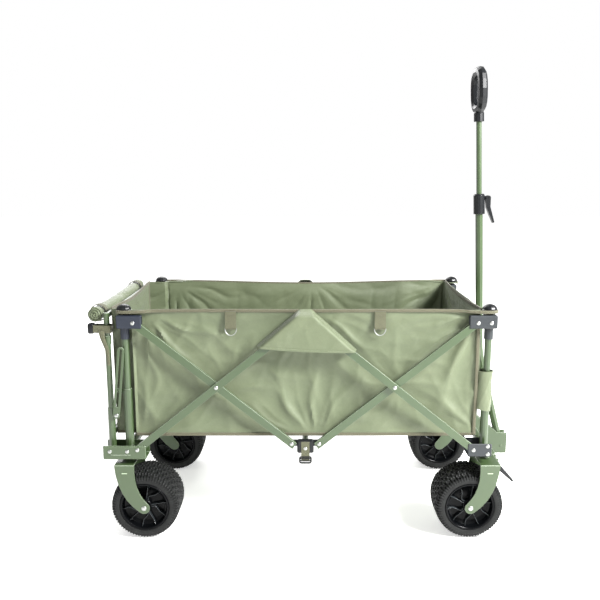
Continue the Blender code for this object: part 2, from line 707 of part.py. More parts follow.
# ---------------------------------------------------------------- liner
def liner():
    """Sewn basket: floor, two sides, front wall and narrowed rear returns, open above and behind."""
    side_wall = INNER_Y - BAR_THICK / 2 - LINER_TO_BAR
    rear_wall = POST_Y - POST_R - PLATE - 0.001
    front = FRONT_POST_X - POST_R - LINER_TO_FRONT_POST
    neck = REAR_POST_X + POST_R + LINER_TO_REAR_POST
    rear = TAIL_X + TAIL_R + LINER_WALL + 0.002

    def prism(inset, low, high, rear_x):
        outline = [(rear_x, -rear_wall + inset), (neck + inset, -rear_wall + inset),
                   (neck + inset, -side_wall + inset), (front - inset, -side_wall + inset),
                   (front - inset, side_wall - inset), (neck + inset, side_wall - inset),
                   (neck + inset, rear_wall - inset), (rear_x, rear_wall - inset)]
        made = plate(outline, low, high)
        made.rotation_euler = (0, 0, 0)
        made.location = (0, 0, (low + high) / 2)
        return made

    shell = prism(0, LINER_LOW, LINER_HIGH, rear)
    cut(shell, prism(LINER_WALL, LINER_LOW + LINER_WALL, LINER_HIGH + 0.01, rear - 0.01))
    node(shell, "liner", fabric, rear_upper)


# ---------------------------------------------------------------- front end and handle
def front_cross_tube():
    """Front cross tube with the welded channel that holds the pull handle."""
    z = LOW_Z
    reach = CHANNEL_IN_Y - GAP
    tube = rod((FRONT_POST_X, -reach, z), (FRONT_POST_X, reach, z), CROSS_R, 16)
    x0 = FRONT_POST_X
    front, foot = x0 + CHANNEL_FRONT[0], CHANNEL_FRONT[1]
    back, top = x0 + CHANNEL_BACK[0], CHANNEL_BACK[1]
    outline = [(x0, z + 0.010), (x0 + 0.030, z + 0.010), (back + 0.010, top), (front, top), (front, foot),
               (back, foot), (x0, z - 0.010)]
    inside = POLE_R + 0.0012
    for side, _ in SIDES:
        join(tube, plate(outline, *side_y(side, inside, inside + PLATE)))
    join(tube, box((back - 0.004, -inside - PLATE / 2, foot), (back - 0.0015, inside + PLATE / 2, top - 0.012)),
         box((back - 0.002, -inside - PLATE / 2, foot), (front, inside + PLATE / 2, foot + PLATE)),
         rod((HANDLE_X, -inside - PLATE / 2, HANDLE_PIVOT[1]), (HANDLE_X, inside + PLATE / 2, HANDLE_PIVOT[1]),
             PIN_R))
    for side, _ in SIDES:
        join(tube, head(side, HANDLE_X, HANDLE_PIVOT[1], inside + PLATE - HEAD_T / 4))
    node(tube, "front_cross_tube", green, front_lower)


def pole_point(z):
    """Where the straight upper run of the handle is at a height."""
    bend_x, bend_z = FRONT_POST_X + HANDLE_BEND[0], HANDLE_BEND[1]
    top_x, top_z = FRONT_POST_X + HANDLE_TOP[0], HANDLE_TOP[1]
    share = (z - bend_z) / (top_z - bend_z)
    return Vector((bend_x + (top_x - bend_x) * share, 0, z))


def handle():
    hinge = pivot("handle_hinge", (HANDLE_X, 0, HANDLE_PIVOT[1]), front_lower)
    low = Vector((HANDLE_X, 0, HANDLE_PIVOT[1]))
    bend = pole_point(HANDLE_BEND[1])
    along = (bend - low).normalized()
    up = (pole_point(HANDLE_TOP[1]) - bend).normalized()
    soft = 0.040
    knee = [bend - along * soft * (1 - t) ** 2 + up * soft * t ** 2 for t in (0, 0.25, 0.5, 0.75, 1)]
    path = [low - along * 0.010] + knee + [pole_point(CLAMP_Z - GAP)]
    tube = curve_tube(path, POLE_R, POLE_WALL)
    cut(tube, rod(low - Vector((0, 0.03, 0)), low + Vector((0, 0.03, 0)), PIN_R + PIN_PLAY))
    node(tube, "handle_lower_tube", green, hinge)

    at = pole_point(CLAMP_Z)
    profile = [(UPPER_R + GAP, CLAMP_HALF), (CLAMP_R - 0.003, CLAMP_HALF), (CLAMP_R, CLAMP_HALF - 0.004),
               (CLAMP_R, -CLAMP_HALF), (POLE_R + GAP, -CLAMP_HALF), (POLE_R + GAP, 0), (UPPER_R + GAP, 0)]
    collar = turned(profile, at, up, 16)
    lug_x, lug_z = at.x + CLAMP_R + 0.009, at.z + 0.018
    lug = box((at.x + CLAMP_R - 0.003, -0.004, lug_z - 0.006), (lug_x + 0.004, 0.004, lug_z + 0.006))
    join(collar, lug, rod((lug_x, -0.0085, lug_z), (lug_x, 0.0085, lug_z), 0.002))
    node(collar, "handle_clamp", grey, hinge)

    lever_hinge = pivot("clamp_hinge", (lug_x, 0, lug_z), hinge)
    outline = arc((lug_x, lug_z), 0.0075, 20, 190, 6)
    outline += [(lug_x - 0.004, lug_z - 0.030), (lug_x + 0.016, lug_z - 0.074), (lug_x + 0.021, lug_z - 0.072),
                (lug_x + 0.007, lug_z - 0.026)]
    lever = plate(outline, -0.0080, 0.0080)
    cut(lever, box((lug_x - 0.012, -0.0043, lug_z - 0.014), (lug_x + 0.012, 0.0043, lug_z + 0.012)),
        rod((lug_x, -0.02, lug_z), (lug_x, 0.02, lug_z), 0.002 + PIN_PLAY))
    node(lever, "handle_clamp_lever", grey, lever_hinge)

    slide = pivot("handle_slide", at, hinge)
    top = pole_point(HANDLE_TOP[1])
    upper = curve_tube([pole_point(UPPER_LOW_Z), top + up * GRIP_NECK * 0.6], UPPER_R, UPPER_WALL)
    node(upper, "handle_upper_tube", green, slide)
    node(grip(top, up), "handle_grip", black, slide)


def grip(foot, up):
    """D grip: a neck on the tube and a closed loop standing in the cross plane."""
    middle = foot + up * (GRIP_HIGH + GRIP_NECK * 0.7) / 2
    high = (GRIP_HIGH - GRIP_NECK * 0.7) / 2 - GRIP_BAR_R
    wide = GRIP_HALF_WIDE - GRIP_BAR_R
    loop = []
    for i in range(20):
        angle = 2 * math.pi * i / 20
        across = wide * math.copysign(abs(math.cos(angle)) ** 0.75, math.cos(angle))
        along = high * math.copysign(abs(math.sin(angle)) ** 0.75, math.sin(angle))
        loop.append(middle + Vector((0, across, 0)) + up * along)
    body = curve_tube(loop, GRIP_BAR_R, closed=True)
    neck = turned([(0, GRIP_NECK), (GRIP_NECK_R - 0.003, GRIP_NECK), (GRIP_NECK_R, GRIP_NECK - 0.006),
                   (GRIP_NECK_R, 0), (0, 0)], foot, up)
    bore = rod(foot - up * 0.005, foot + up * GRIP_NECK * 0.62, UPPER_R + GAP)
    return cut(join(neck, body), bore)


# ---------------------------------------------------------------- build
clear_scene()
parts = collection("folding_camp_wagon")
tools = collection("cutters")
wagon = pivot("wagon_origin", (0, 0, 0))

green = material("green_painted_steel", GREEN, 0.42)
fabric = material("olive_fabric", FABRIC, 0.85)
black = material("black_plastic", BLACK, 0.45)
grey = material("grey_plastic", GREY, 0.45)
rubber = material("tyre_rubber", RUBBER, 0.85)

# The fold's tree of hinges, near and far sides together
bars_b = pivot("rear_low_hinge", (-END_X, 0, LOW_Z), wagon)
top_hubs = pivot("rear_top_hub_hinge", (-HUB_X, 0, HUB_HIGH_Z), bars_b)
bars_c = pivot("front_top_hub_hinge", (HUB_X, 0, HUB_HIGH_Z), top_hubs)
front_lower = pivot("front_low_hinge", (END_X, 0, LOW_Z), bars_c)
bars_a = pivot("rear_crossing_hinge", (-CROSS_X, 0, CROSS_Z), bars_b)
rear_upper = pivot("rear_high_hinge", (-END_X, 0, HIGH_Z), bars_a)
low_hubs = pivot("low_hub_hinge", (-HUB_X, 0, HUB_LOW_Z), bars_a)
bars_d = pivot("front_crossing_hinge", (CROSS_X, 0, CROSS_Z), bars_c)
front_upper = pivot("front_high_hinge", (END_X, 0, HIGH_Z), bars_d)

REAR_FLOOR = LOW_Z + REAR_CHANNEL_Z[0] + PLATE
FRONT_FLOOR = LOW_Z + FRONT_CHANNEL_Z[0] + PLATE
REAR_UNDER = LOW_Z + REAR_CHANNEL_Z[0] - GAP
FRONT_UNDER = LOW_Z + FRONT_CHANNEL_Z[0] - GAP

rear_lower_frame()
front_cross_tube()
for side, word in SIDES:
    low_rear, high_rear = (-END_X, LOW_Z), (-END_X, HIGH_Z)
    low_front, high_front = (END_X, LOW_Z), (END_X, HIGH_Z)
    hub_lr, hub_lf = (-HUB_X, HUB_LOW_Z), (HUB_X, HUB_LOW_Z)
    hub_hr, hub_hf = (-HUB_X, HUB_HIGH_Z), (HUB_X, HUB_HIGH_Z)
    rear_cross, front_cross = (-CROSS_X, CROSS_Z), (CROSS_X, CROSS_Z)
    bar(side, f"bar_rear_low_to_top_{word}", low_rear, hub_hr, OUTER_Y, bars_b, rear_cross,
        (low_rear, hub_hr))
    bar(side, f"bar_rear_high_to_low_{word}", high_rear, hub_lr, INNER_Y, bars_a, None,
        (high_rear, hub_lr, rear_cross))
    bar(side, f"bar_front_low_to_top_{word}", hub_hf, low_front, OUTER_Y, bars_c, front_cross,
        (hub_hf, low_front))
    bar(side, f"bar_front_high_to_low_{word}", hub_lf, high_front, INNER_Y, bars_d, None,
        (hub_lf, high_front, front_cross), OPEN_PIVOT_PLAY)
    hub(side, f"top_hub_{word}", HUB_HIGH_Z, OUTER_Y, top_hubs)
    hub(side, f"low_hub_{word}", HUB_LOW_Z, INNER_Y, low_hubs)

    lower_post(side, f"rear_post_lower_{word}", REAR_POST_X, REAR_FLOOR, wagon, ear=True)
    upper_post(side, f"rear_post_upper_{word}", REAR_POST_X, REAR_FLOOR, rear_upper)
    top_bracket(side, f"rear_top_bracket_{word}", REAR_POST_X, -END_X, black, rear_upper)
    dome(side, f"rear_dome_{word}", REAR_POST_X, rear_upper)

    pins = ((END_X, LOW_Z, True), (FRONT_POST_X + 0.003, LOW_Z + 0.011, False),
            (FRONT_POST_X + 0.004, LOW_Z - 0.012, False))
    node(channel(side, FRONT_POST_X, FRONT_CHANNEL_X, FRONT_CHANNEL_Z, pins),
         f"front_low_bracket_{word}", grey, front_lower)
    lower_post(side, f"front_post_lower_{word}", FRONT_POST_X, FRONT_FLOOR, front_lower)
    upper_post(side, f"front_post_upper_{word}", FRONT_POST_X, FRONT_FLOOR, front_upper)
    top_bracket(side, f"front_top_bracket_{word}", FRONT_POST_X, END_X, grey, front_upper)
    dome(side, f"front_dome_{word}", FRONT_POST_X, front_upper)

    rear_axle = fork(side, f"rear_fork_{word}", REAR_POST_X + REAR_STEM, 1, REAR_UNDER, wagon)
    rear_spin = pivot(f"rear_axle_{word}", (rear_axle, side * WHEEL_Y, WHEEL_R), wagon)
    wheel(side, "rear", rear_axle, rear_spin)

    stem_x = FRONT_POST_X + FRONT_STEM
    swivel = pivot(f"caster_swivel_{word}", (stem_x, side * WHEEL_Y, FORK_TOP), front_lower)
    front_axle = fork(side, f"caster_fork_{word}", stem_x, -1, FRONT_UNDER, swivel, True)
    front_spin = pivot(f"front_axle_{word}", (front_axle, side * WHEEL_Y, WHEEL_R), swivel)
    wheel(side, "front", front_axle, front_spin)
    brake_lever(side, stem_x, swivel)

low_z = HUB_LOW_Z - 0.012
reach = INNER_Y - BAR_THICK / 2 - 2 * GAP - ARM
node(rod((0, -reach, low_z), (0, reach, low_z), CROSS_R - 0.002), "mid_cross_tube", green, low_hubs)
liner()
tailgate()
handle()
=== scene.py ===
"""Looks of a folding camp wagon: cloth basket, webbing, wheels, rivets and finishes round its CAD frame.

Metres, +Z up, +X towards the pull handle, -Y the near side.
"""
import math

import bpy
import numpy as np
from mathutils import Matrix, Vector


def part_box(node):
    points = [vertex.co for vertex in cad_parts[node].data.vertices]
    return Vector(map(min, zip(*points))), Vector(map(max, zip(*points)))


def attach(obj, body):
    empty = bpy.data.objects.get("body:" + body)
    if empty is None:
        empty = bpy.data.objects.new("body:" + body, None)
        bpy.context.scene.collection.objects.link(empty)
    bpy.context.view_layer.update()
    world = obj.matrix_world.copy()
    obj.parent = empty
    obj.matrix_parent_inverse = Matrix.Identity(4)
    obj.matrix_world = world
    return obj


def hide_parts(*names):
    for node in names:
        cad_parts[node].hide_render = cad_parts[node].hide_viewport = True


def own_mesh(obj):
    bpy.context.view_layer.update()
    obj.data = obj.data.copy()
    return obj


bl_info = {
    "name": "Folding camp wagon",
    "version": (1, 0, 0),
    "blender": (4, 5, 0),
    "location": "3D View > Sidebar > Camp wagon",
    "description": "Cloth, webbing, wheels, rivets and finishes for the folding camp wagon",
    "category": "Add Mesh",
}

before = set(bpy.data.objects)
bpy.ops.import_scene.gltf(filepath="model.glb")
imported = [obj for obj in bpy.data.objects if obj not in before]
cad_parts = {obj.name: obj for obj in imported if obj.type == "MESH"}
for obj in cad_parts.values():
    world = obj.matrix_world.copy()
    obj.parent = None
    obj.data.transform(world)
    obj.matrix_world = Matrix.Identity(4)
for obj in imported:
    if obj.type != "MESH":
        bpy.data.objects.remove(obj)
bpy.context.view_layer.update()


def middle(node):
    low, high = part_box(node)
    return (low + high) / 2


# Places read from the frame
MID_X = middle("low_hub_near").x                     # the lattice's middle plane
REAR_POST_X = middle("rear_dome_near").x
FRONT_POST_X = middle("front_dome_near").x
POST_Y = abs(middle("rear_dome_near").y)
DOME_LOW_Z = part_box("rear_dome_near")[0].z
LINER_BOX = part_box("liner")
PANEL_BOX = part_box("tailgate_panel")
ROLL_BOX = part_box("tailgate_roll")
LOW_HUB_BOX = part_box("low_hub_near")
LINER_FRONT_X = LINER_BOX[1].x
LINER_BACK_STEP_X = MID_X - 0.4735                   # behind it the basket narrows between the posts
WALL_END_X = PANEL_BOX[0].x + 0.0008                 # the side walls run back beside the tailgate
LINER_Y = LINER_BOX[1].y
BACK_WALL_Y = 0.2345                                 # the side walls' outer face behind the step
LINER_LOW, LINER_HIGH = LINER_BOX[0].z, LINER_BOX[1].z
RIM_Z = LINER_HIGH - 0.0005
RAIL_X = MID_X - 0.538                               # tailgate's upright rails
LATTICE_LOW_Z = 0.265
LATTICE_HIGH_Z = 0.620
CROSS_Z = (LATTICE_LOW_Z + LATTICE_HIGH_Z) / 2
CROSS_OUT = 0.24194                                  # crossing rivets from the middle plane
END_OUT = 0.462                                      # end pivots from the middle plane
HUB_OUT = 0.038
HUB_LIFT = 0.013
AXLE_Z = 0.095
# Outer faces that the rivets and stamped bars sit on
BAR_FACE_Y, CHANNEL_FACE_Y, BRACKET_FACE_Y = 0.2844, 0.2872, 0.2772
HUB_FACE_Y, STAY_FACE_Y, AXLE_FACE_Y, FORK_FACE_Y = 0.2747, 0.2665, 0.2913, 0.2914
SIDES = ((-1, "near"), (1, "far"))
WHEELS = (("rear", "near"), ("rear", "far"), ("front", "near"), ("front", "far"))

# Sizes of the sewn and moulded detail
CLOTH = 0.0016                                       # coated polyester with its lining
WEBBING = 0.0018
BINDING_HIGH = 0.009
BINDING_THICK = 0.0036
TAB_WIDE = 0.030
RIVET_R = 0.0056
RIVET_HIGH = 0.0022
FAR_BOW = 0.020                                      # the far rim leans in by this, half way along
CREASE_ROOM = 0.0064                                 # creases stand out no further than this
ROLL_STRAPS_Y = (-0.205, 0.205)


# ---------------------------------------------------------------- surfaces
def grid_faces(rows, columns, wrap_rows=False, wrap_columns=False):
    """Quads of a grid whose point (i, j) is number i * columns + j; wrapping joins last to first."""
    i = np.arange(rows if wrap_rows else rows - 1)[:, None]
    j = np.arange(columns if wrap_columns else columns - 1)[None, :]
    i_next, j_next = (i + 1) % rows, (j + 1) % columns
    corners = [a + b for a, b in ((i * columns, j), (i * columns, j_next),
                                  (i_next * columns, j_next), (i_next * columns, j))]
    return np.stack(corners, -1).reshape(-1, 4)


def tube_faces(rows, columns):
    """Faces of a grid whose rows are closed rings, with a fan over each end. The fans meet in two more
    points, numbered after the grid's own: one for the first ring, then one for the last."""
    ring = np.arange(columns)
    last = ring + (rows - 1) * columns
    total = rows * columns
    return [grid_faces(rows, columns, wrap_columns=True),
            np.stack([np.full(columns, total), np.roll(ring, -1), ring], -1),
            np.stack([np.full(columns, total + 1), last, np.roll(last, -1)], -1)]


def unit(vectors):
    return vectors / np.maximum(np.linalg.norm(vectors, axis=-1, keepdims=True), 1e-12)


def smoothstep(low, high, x):
    t = np.clip((x - low) / (high - low), 0, 1)
    return t * t * (3 - 2 * t)


def spread(low, high, count):
    return np.linspace(low, high, count)


class Form:
    """Closed surfaces gathered into one mesh, each turned so that its faces point outwards."""

    def __init__(self):
        self.points, self.faces, self.uvs, self.count = [], [], [], 0

    def add(self, points, faces, uv=None):
        """Adds a closed surface. Its signed volume, a sum over its triangles, says which way it faces."""
        points = np.asarray(points, float).reshape(-1, 3)
        faces = [np.asarray(f) for f in (faces if isinstance(faces, list) else [faces])]
        centred = points - points.mean(0)
        volume = 0.0
        for group in faces:
            a = centred[group[:, 0]]
            for k in range(1, group.shape[1] - 1):
                b, c = centred[group[:, k]], centred[group[:, k + 1]]
                volume += np.einsum("ij,ij->", a, np.cross(b, c))
        for group in faces:
            self.faces += ((group if volume > 0 else group[:, ::-1]) + self.count).tolist()
        if uv is None:
            uv = points[:, [0, 2]]
        self.points.append(points)
        self.uvs.append(np.asarray(uv, float).reshape(-1, 2))
        self.count += len(points)
        return self


def slab(grid, thick, uv=None, wrap=False):
    """A sheet of even thickness on a grid of middle points: both faces lie half the thickness away
    along the grid's normals, and the open edges are closed. Returns points, faces and UV."""
    rows, columns = grid.shape[:2]
    along = np.gradient(grid, axis=0)
    if wrap:
        across = (np.roll(grid, -1, 1) - np.roll(grid, 1, 1)) / 2
    else:
        across = np.gradient(grid, axis=1)
    normal = unit(np.cross(along, across))
    points = np.concatenate([(grid + normal * thick / 2).reshape(-1, 3),
                             (grid - normal * thick / 2).reshape(-1, 3)])
    n = rows * columns
    face = grid_faces(rows, columns, wrap_columns=wrap)
    index = np.arange(n).reshape(rows, columns)
    if wrap:
        edges = [np.append(index[0], index[0, 0]), np.append(index[-1], index[-1, 0])[::-1]]
    else:
        edges = [np.concatenate([index[0], index[1:, -1], index[-1, -2::-1], index[-2::-1, 0]])]
    sides = [np.stack([e[:-1] + n, e[1:] + n, e[1:], e[:-1]], -1)[:, ::-1] for e in edges]
    if uv is None:
        uv = lengths(grid)
    return points, [face, face[:, ::-1] + n, *sides], np.concatenate([uv.reshape(-1, 2)] * 2)


def lengths(grid):
    """UV of a grid in metres: the distance run along its columns and along its rows."""
    u = np.zeros(grid.shape[:2])
    v = np.zeros(grid.shape[:2])
    u[:, 1:] = np.cumsum(np.linalg.norm(np.diff(grid, axis=1), axis=-1), 1)
    v[1:] = np.cumsum(np.linalg.norm(np.diff(grid, axis=0), axis=-1), 0)
    return np.stack([u, v], -1)


def sweep(path, section, up=(0, 0, 1), closed=False):
    """A solid band: the section's (side, up) points are carried along the path, square to it.
    An open path gets end caps that fan from the section's middle."""
    path = np.asarray(path, float)
    section = np.asarray(section, float)
    if closed:
        tangent = unit(np.roll(path, -1, 0) - np.roll(path, 1, 0))
    else:
        tangent = unit(np.gradient(path, axis=0))
    up = np.broadcast_to(np.asarray(up, float), path.shape)
    side = unit(np.cross(tangent, up))
    rise = np.cross(side, tangent)
    grid = (path[:, None] + side[:, None] * section[None, :, :1]
            + rise[:, None] * section[None, :, 1:])
    rows, columns = grid.shape[:2]
    points, uv = grid.reshape(-1, 3), lengths(grid).reshape(-1, 2)
    if closed:
        return points, [grid_faces(rows, columns, True, True)], uv
    return (np.concatenate([points, path[:1], path[-1:]]), tube_faces(rows, columns),
            np.concatenate([uv, uv[:1], uv[-1:]]))


def rounded(half_wide, half_high, power=4, count=12):
    """A section shaped like a rounded rectangle: a superellipse of the given power."""
    t = spread(0, 2 * math.pi, count + 1)[:-1]
    c, s = np.cos(t), np.sin(t)
    return np.stack([half_wide * np.sign(c) * np.abs(c) ** (2 / power),
                     half_high * np.sign(s) * np.abs(s) ** (2 / power)], -1)


def turned(profile, centre, axis_y=1.0, steps=32, closed=False):
    """A surface turned round an axis along Y: (radius, distance along Y) points sweep a full circle.
    An open profile's first and last points lie on the axis, and each end closes in one pole."""
    profile = np.asarray(profile, float)
    angle = spread(0, 2 * math.pi, steps + 1)[:-1]
    inner = profile if closed else profile[1:-1]
    r, y = inner[:, 0][None], inner[:, 1][None]
    x = r * np.cos(angle)[:, None]
    z = r * np.sin(angle)[:, None]
    grid = np.stack([x, np.broadcast_to(axis_y * y, x.shape), z], -1) + np.asarray(centre)
    rows, columns = grid.shape[:2]
    points = grid.reshape(-1, 3)
    if closed:
        return points, [grid_faces(rows, columns, True, True)]
    faces = [grid_faces(rows, columns, wrap_rows=True)]
    ring = np.arange(rows) * columns
    poles = np.asarray(centre) + np.array([[0, axis_y * y_end, 0] for y_end in profile[[0, -1], 1]])
    start, end = len(points), len(points) + 1
    last = ring + columns - 1
    faces += [np.stack([np.full(rows, start), ring, np.roll(ring, -1)], -1),
              np.stack([np.full(rows, end), np.roll(last, -1), last], -1)]
    return np.concatenate([points, poles]), faces


def spline(corners, count):
    """A smooth path through a few points: Catmull-Rom, evenly counted between them."""
    p = np.asarray(corners, float)
    p = np.concatenate([2 * p[:1] - p[1:2], p, 2 * p[-1:] - p[-2:-1]])
    t = spread(0, len(p) - 3, count)
    i = np.minimum(t.astype(int), len(p) - 4)
    f = (t - i)[:, None]
    a, b, c, d = p[i], p[i + 1], p[i + 2], p[i + 3]
    return 0.5 * (2 * b + (c - a) * f + (2 * a - 5 * b + 4 * c - d) * f ** 2
                  + (3 * b - a - 3 * c + d) * f ** 3)


def make_piece(name, form, body, material, crease=38, replaces=()):
    """Puts a Form into a mesh object at the origin, with its UV in metres, and hangs it on a body."""
    mesh = bpy.data.meshes.new(name)
    mesh.from_pydata(np.concatenate(form.points).tolist(), [], form.faces)
    uv = np.concatenate(form.uvs)
    corner = np.zeros(len(mesh.loops), np.int32)
    mesh.loops.foreach_get("vertex_index", corner)
    mesh.uv_layers.new(name="UVMap").data.foreach_set("uv", uv[corner].ravel())
    mesh.polygons.foreach_set("use_smooth", np.ones(len(mesh.polygons), bool))
    mesh.materials.append(material)
    mesh.update()
    mesh.set_sharp_from_angle(angle=math.radians(crease))
    piece = bpy.data.objects.new(name, mesh)
    bpy.context.scene.collection.objects.link(piece)
    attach(piece, body)
    if replaces:
        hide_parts(*replaces)
    return piece


# ---------------------------------------------------------------- materials
def linear(colour):
    """sRGB hex to linear RGBA."""
    parts = [int(colour.lstrip("#")[k:k + 2], 16) / 255 for k in (0, 2, 4)]
    return tuple(c / 12.92 if c <= 0.04045 else ((c + 0.055) / 1.055) ** 2.4 for c in parts) + (1.0,)


def set_inputs(tree, node, **inputs):
    """Fills a node's inputs: values, sRGB hex colours, or sockets to link from. An input's name is the
    socket's name with _ for spaces, or in0, in1... by number."""
    for key, value in inputs.items():
        number = key[2:] if key.startswith("in") and key[2:].isdigit() else None
        socket = node.inputs[int(number)] if number else node.inputs[key.replace("_", " ")]
        if isinstance(value, bpy.types.NodeSocket):
            tree.links.new(value, socket)
        else:
            socket.default_value = linear(value) if isinstance(value, str) else value


def add_node(tree, kind, settings=None, **inputs):
    """Adds a node: settings are its own properties, and its inputs are filled as above."""
    node = tree.nodes.new(kind)
    for key, value in (settings or {}).items():
        setattr(node, key, value)
    set_inputs(tree, node, **inputs)
    return node


def new_material(name):
    material = bpy.data.materials.new(name)
    material.use_nodes = True
    tree = material.node_tree
    tree.nodes.clear()
    shader = add_node(tree, "ShaderNodeBsdfPrincipled")
    add_node(tree, "ShaderNodeOutputMaterial", Surface=shader.outputs[0])
    return material, tree, shader


COLOURS = {"data_type": "RGBA"}                      # a Mix node of colours: in0 blends in6 into in7


def steel_material():
    """Powder-coated steel, sprayed and baked: a satin green film with fine orange peel, a little
    lighter and rougher in clouds, faintly paler along every edge, and with a painted highlight of pale
    paint along the edges that face up."""
    material, tree, shader = new_material("powder_coated_steel")
    looks = bpy.context.scene.wagon_looks
    place = add_node(tree, "ShaderNodeTexCoord").outputs["Object"]
    cloud = add_node(tree, "ShaderNodeTexNoise", Vector=place, Scale=9.0, Detail=3.0).outputs[0]
    # orange peel is about 1 mm across; drawn at 2.5 mm so that it shows
    peel = add_node(tree, "ShaderNodeTexNoise", Vector=place, Scale=400.0, Detail=2.0)
    film = add_node(tree, "ShaderNodeMix", COLOURS, in0=cloud, in6=looks.steel_shade,
                    in7=looks.steel_colour)
    rough = add_node(tree, "ShaderNodeMapRange", Value=cloud, To_Min=0.30, To_Max=0.42)
    edge = add_node(tree, "ShaderNodeBevel", {"samples": 6}, Radius=0.0016).outputs[0]
    # an edge is where the rounded normal leaves the flat one; pale paint goes faintly on every edge and
    # strongly on those that face up, a painted highlight
    flat = add_node(tree, "ShaderNodeNewGeometry").outputs["Normal"]
    agree = add_node(tree, "ShaderNodeVectorMath", {"operation": "DOT_PRODUCT"}, in0=edge, in1=flat)
    rub = add_node(tree, "ShaderNodeMapRange", Value=agree.outputs["Value"], From_Min=0.985,
                   From_Max=0.86)
    up = add_node(tree, "ShaderNodeSeparateXYZ", Vector=edge)
    upward = add_node(tree, "ShaderNodeMapRange", Value=up.outputs["Z"], From_Min=0.15, From_Max=0.6,
                      To_Min=0.12, To_Max=0.9)
    wear_and_painted_highlight = add_node(tree, "ShaderNodeMath", {"operation": "MULTIPLY"},
                    in0=rub.outputs[0], in1=upward.outputs[0])
    # c3cfba is the pale green of the painted highlight on the edges
    colour = add_node(tree, "ShaderNodeMix", COLOURS, in0=wear_and_painted_highlight.outputs[0], in6=film.outputs[2],
                      in7="c3cfba")
    bump = add_node(tree, "ShaderNodeBump", Strength=0.12, Distance=0.0003,
                    Height=peel.outputs[0], Normal=edge)
    set_inputs(tree, shader, Base_Color=colour.outputs[2], Roughness=rough.outputs[0],
               Normal=bump.outputs[0], Coat_Weight=0.35, Coat_Roughness=0.22)
    return material


def plastic_material(name, colour, shade, rough, grain, depth, gloss_level=0.35):
    """Injection-moulded plastic: an even tone with a spark-eroded grain whose pits are
    1 / grain metres apart, and slightly cloudy gloss where it was handled."""
    material, tree, shader = new_material(name)
    place = add_node(tree, "ShaderNodeTexCoord").outputs["Object"]
    cloud = add_node(tree, "ShaderNodeTexNoise", Vector=place, Scale=30.0, Detail=3.0).outputs[0]
    pits = add_node(tree, "ShaderNodeTexNoise", Vector=place, Scale=grain, Detail=2.0)
    gloss = add_node(tree, "ShaderNodeMapRange", Value=cloud, To_Min=rough - 0.06,
                     To_Max=rough + 0.08)
    edge = add_node(tree, "ShaderNodeBevel", {"samples": 4}, Radius=0.0010)
    bump = add_node(tree, "ShaderNodeBump", Strength=depth, Distance=0.0003,
                    Height=pits.outputs[0], Normal=edge.outputs[0])
    tone = add_node(tree, "ShaderNodeMix", COLOURS, in0=cloud, in6=shade, in7=colour)
    set_inputs(tree, shader, Base_Color=tone.outputs[2], Roughness=gloss.outputs[0],
               Normal=bump.outputs[0], IOR=1.5, Specular_IOR_Level=gloss_level)
    return material


def rubber_material():
    """Foamed tyre rubber, moulded: matt charcoal with paler, dusty clouds and a fine pored skin."""
    material, tree, shader = new_material("foam_rubber")
    looks = bpy.context.scene.wagon_looks
    place = add_node(tree, "ShaderNodeTexCoord").outputs["Object"]
    cloud = add_node(tree, "ShaderNodeTexNoise", Vector=place, Scale=45.0, Detail=4.0)
    pores = add_node(tree, "ShaderNodeTexVoronoi", Vector=place, Scale=500.0)    # 2 mm pores
    dust = add_node(tree, "ShaderNodeMapRange", Value=cloud.outputs[0], From_Min=0.35, From_Max=0.7)
    bump = add_node(tree, "ShaderNodeBump", Strength=0.25, Distance=0.0003, Height=pores.outputs[0])
    tone = add_node(tree, "ShaderNodeMix", COLOURS, in0=dust.outputs[0], in6=looks.rubber_colour,
                    in7=looks.rubber_dust)
    set_inputs(tree, shader, Base_Color=tone.outputs[2], Normal=bump.outputs[0], Roughness=0.62,
               Specular_IOR_Level=0.3)
    return material


def woven(tree, place, spacing_x, spacing_y, distance, **under):
    """Bump of a plain weave: one wave across the threads times another along them. Gives the normal
    and the threads' height."""
    split = add_node(tree, "ShaderNodeSeparateXYZ", Vector=place)
    waves = []
    for axis, spacing in ((0, spacing_x), (1, spacing_y)):
        turn = add_node(tree, "ShaderNodeMath", {"operation": "MULTIPLY"},
                        in0=split.outputs[axis], in1=2 * math.pi / spacing)
        waves.append(add_node(tree, "ShaderNodeMath", {"operation": "SINE"}, in0=turn.outputs[0]))
    both = add_node(tree, "ShaderNodeMath", {"operation": "MULTIPLY"},
                    in0=waves[0].outputs[0], in1=waves[1].outputs[0])
    bump = add_node(tree, "ShaderNodeBump", Strength=0.5, Distance=distance,
                    Height=both.outputs[0], **under)
    return bump.outputs[0], both.outputs[0]


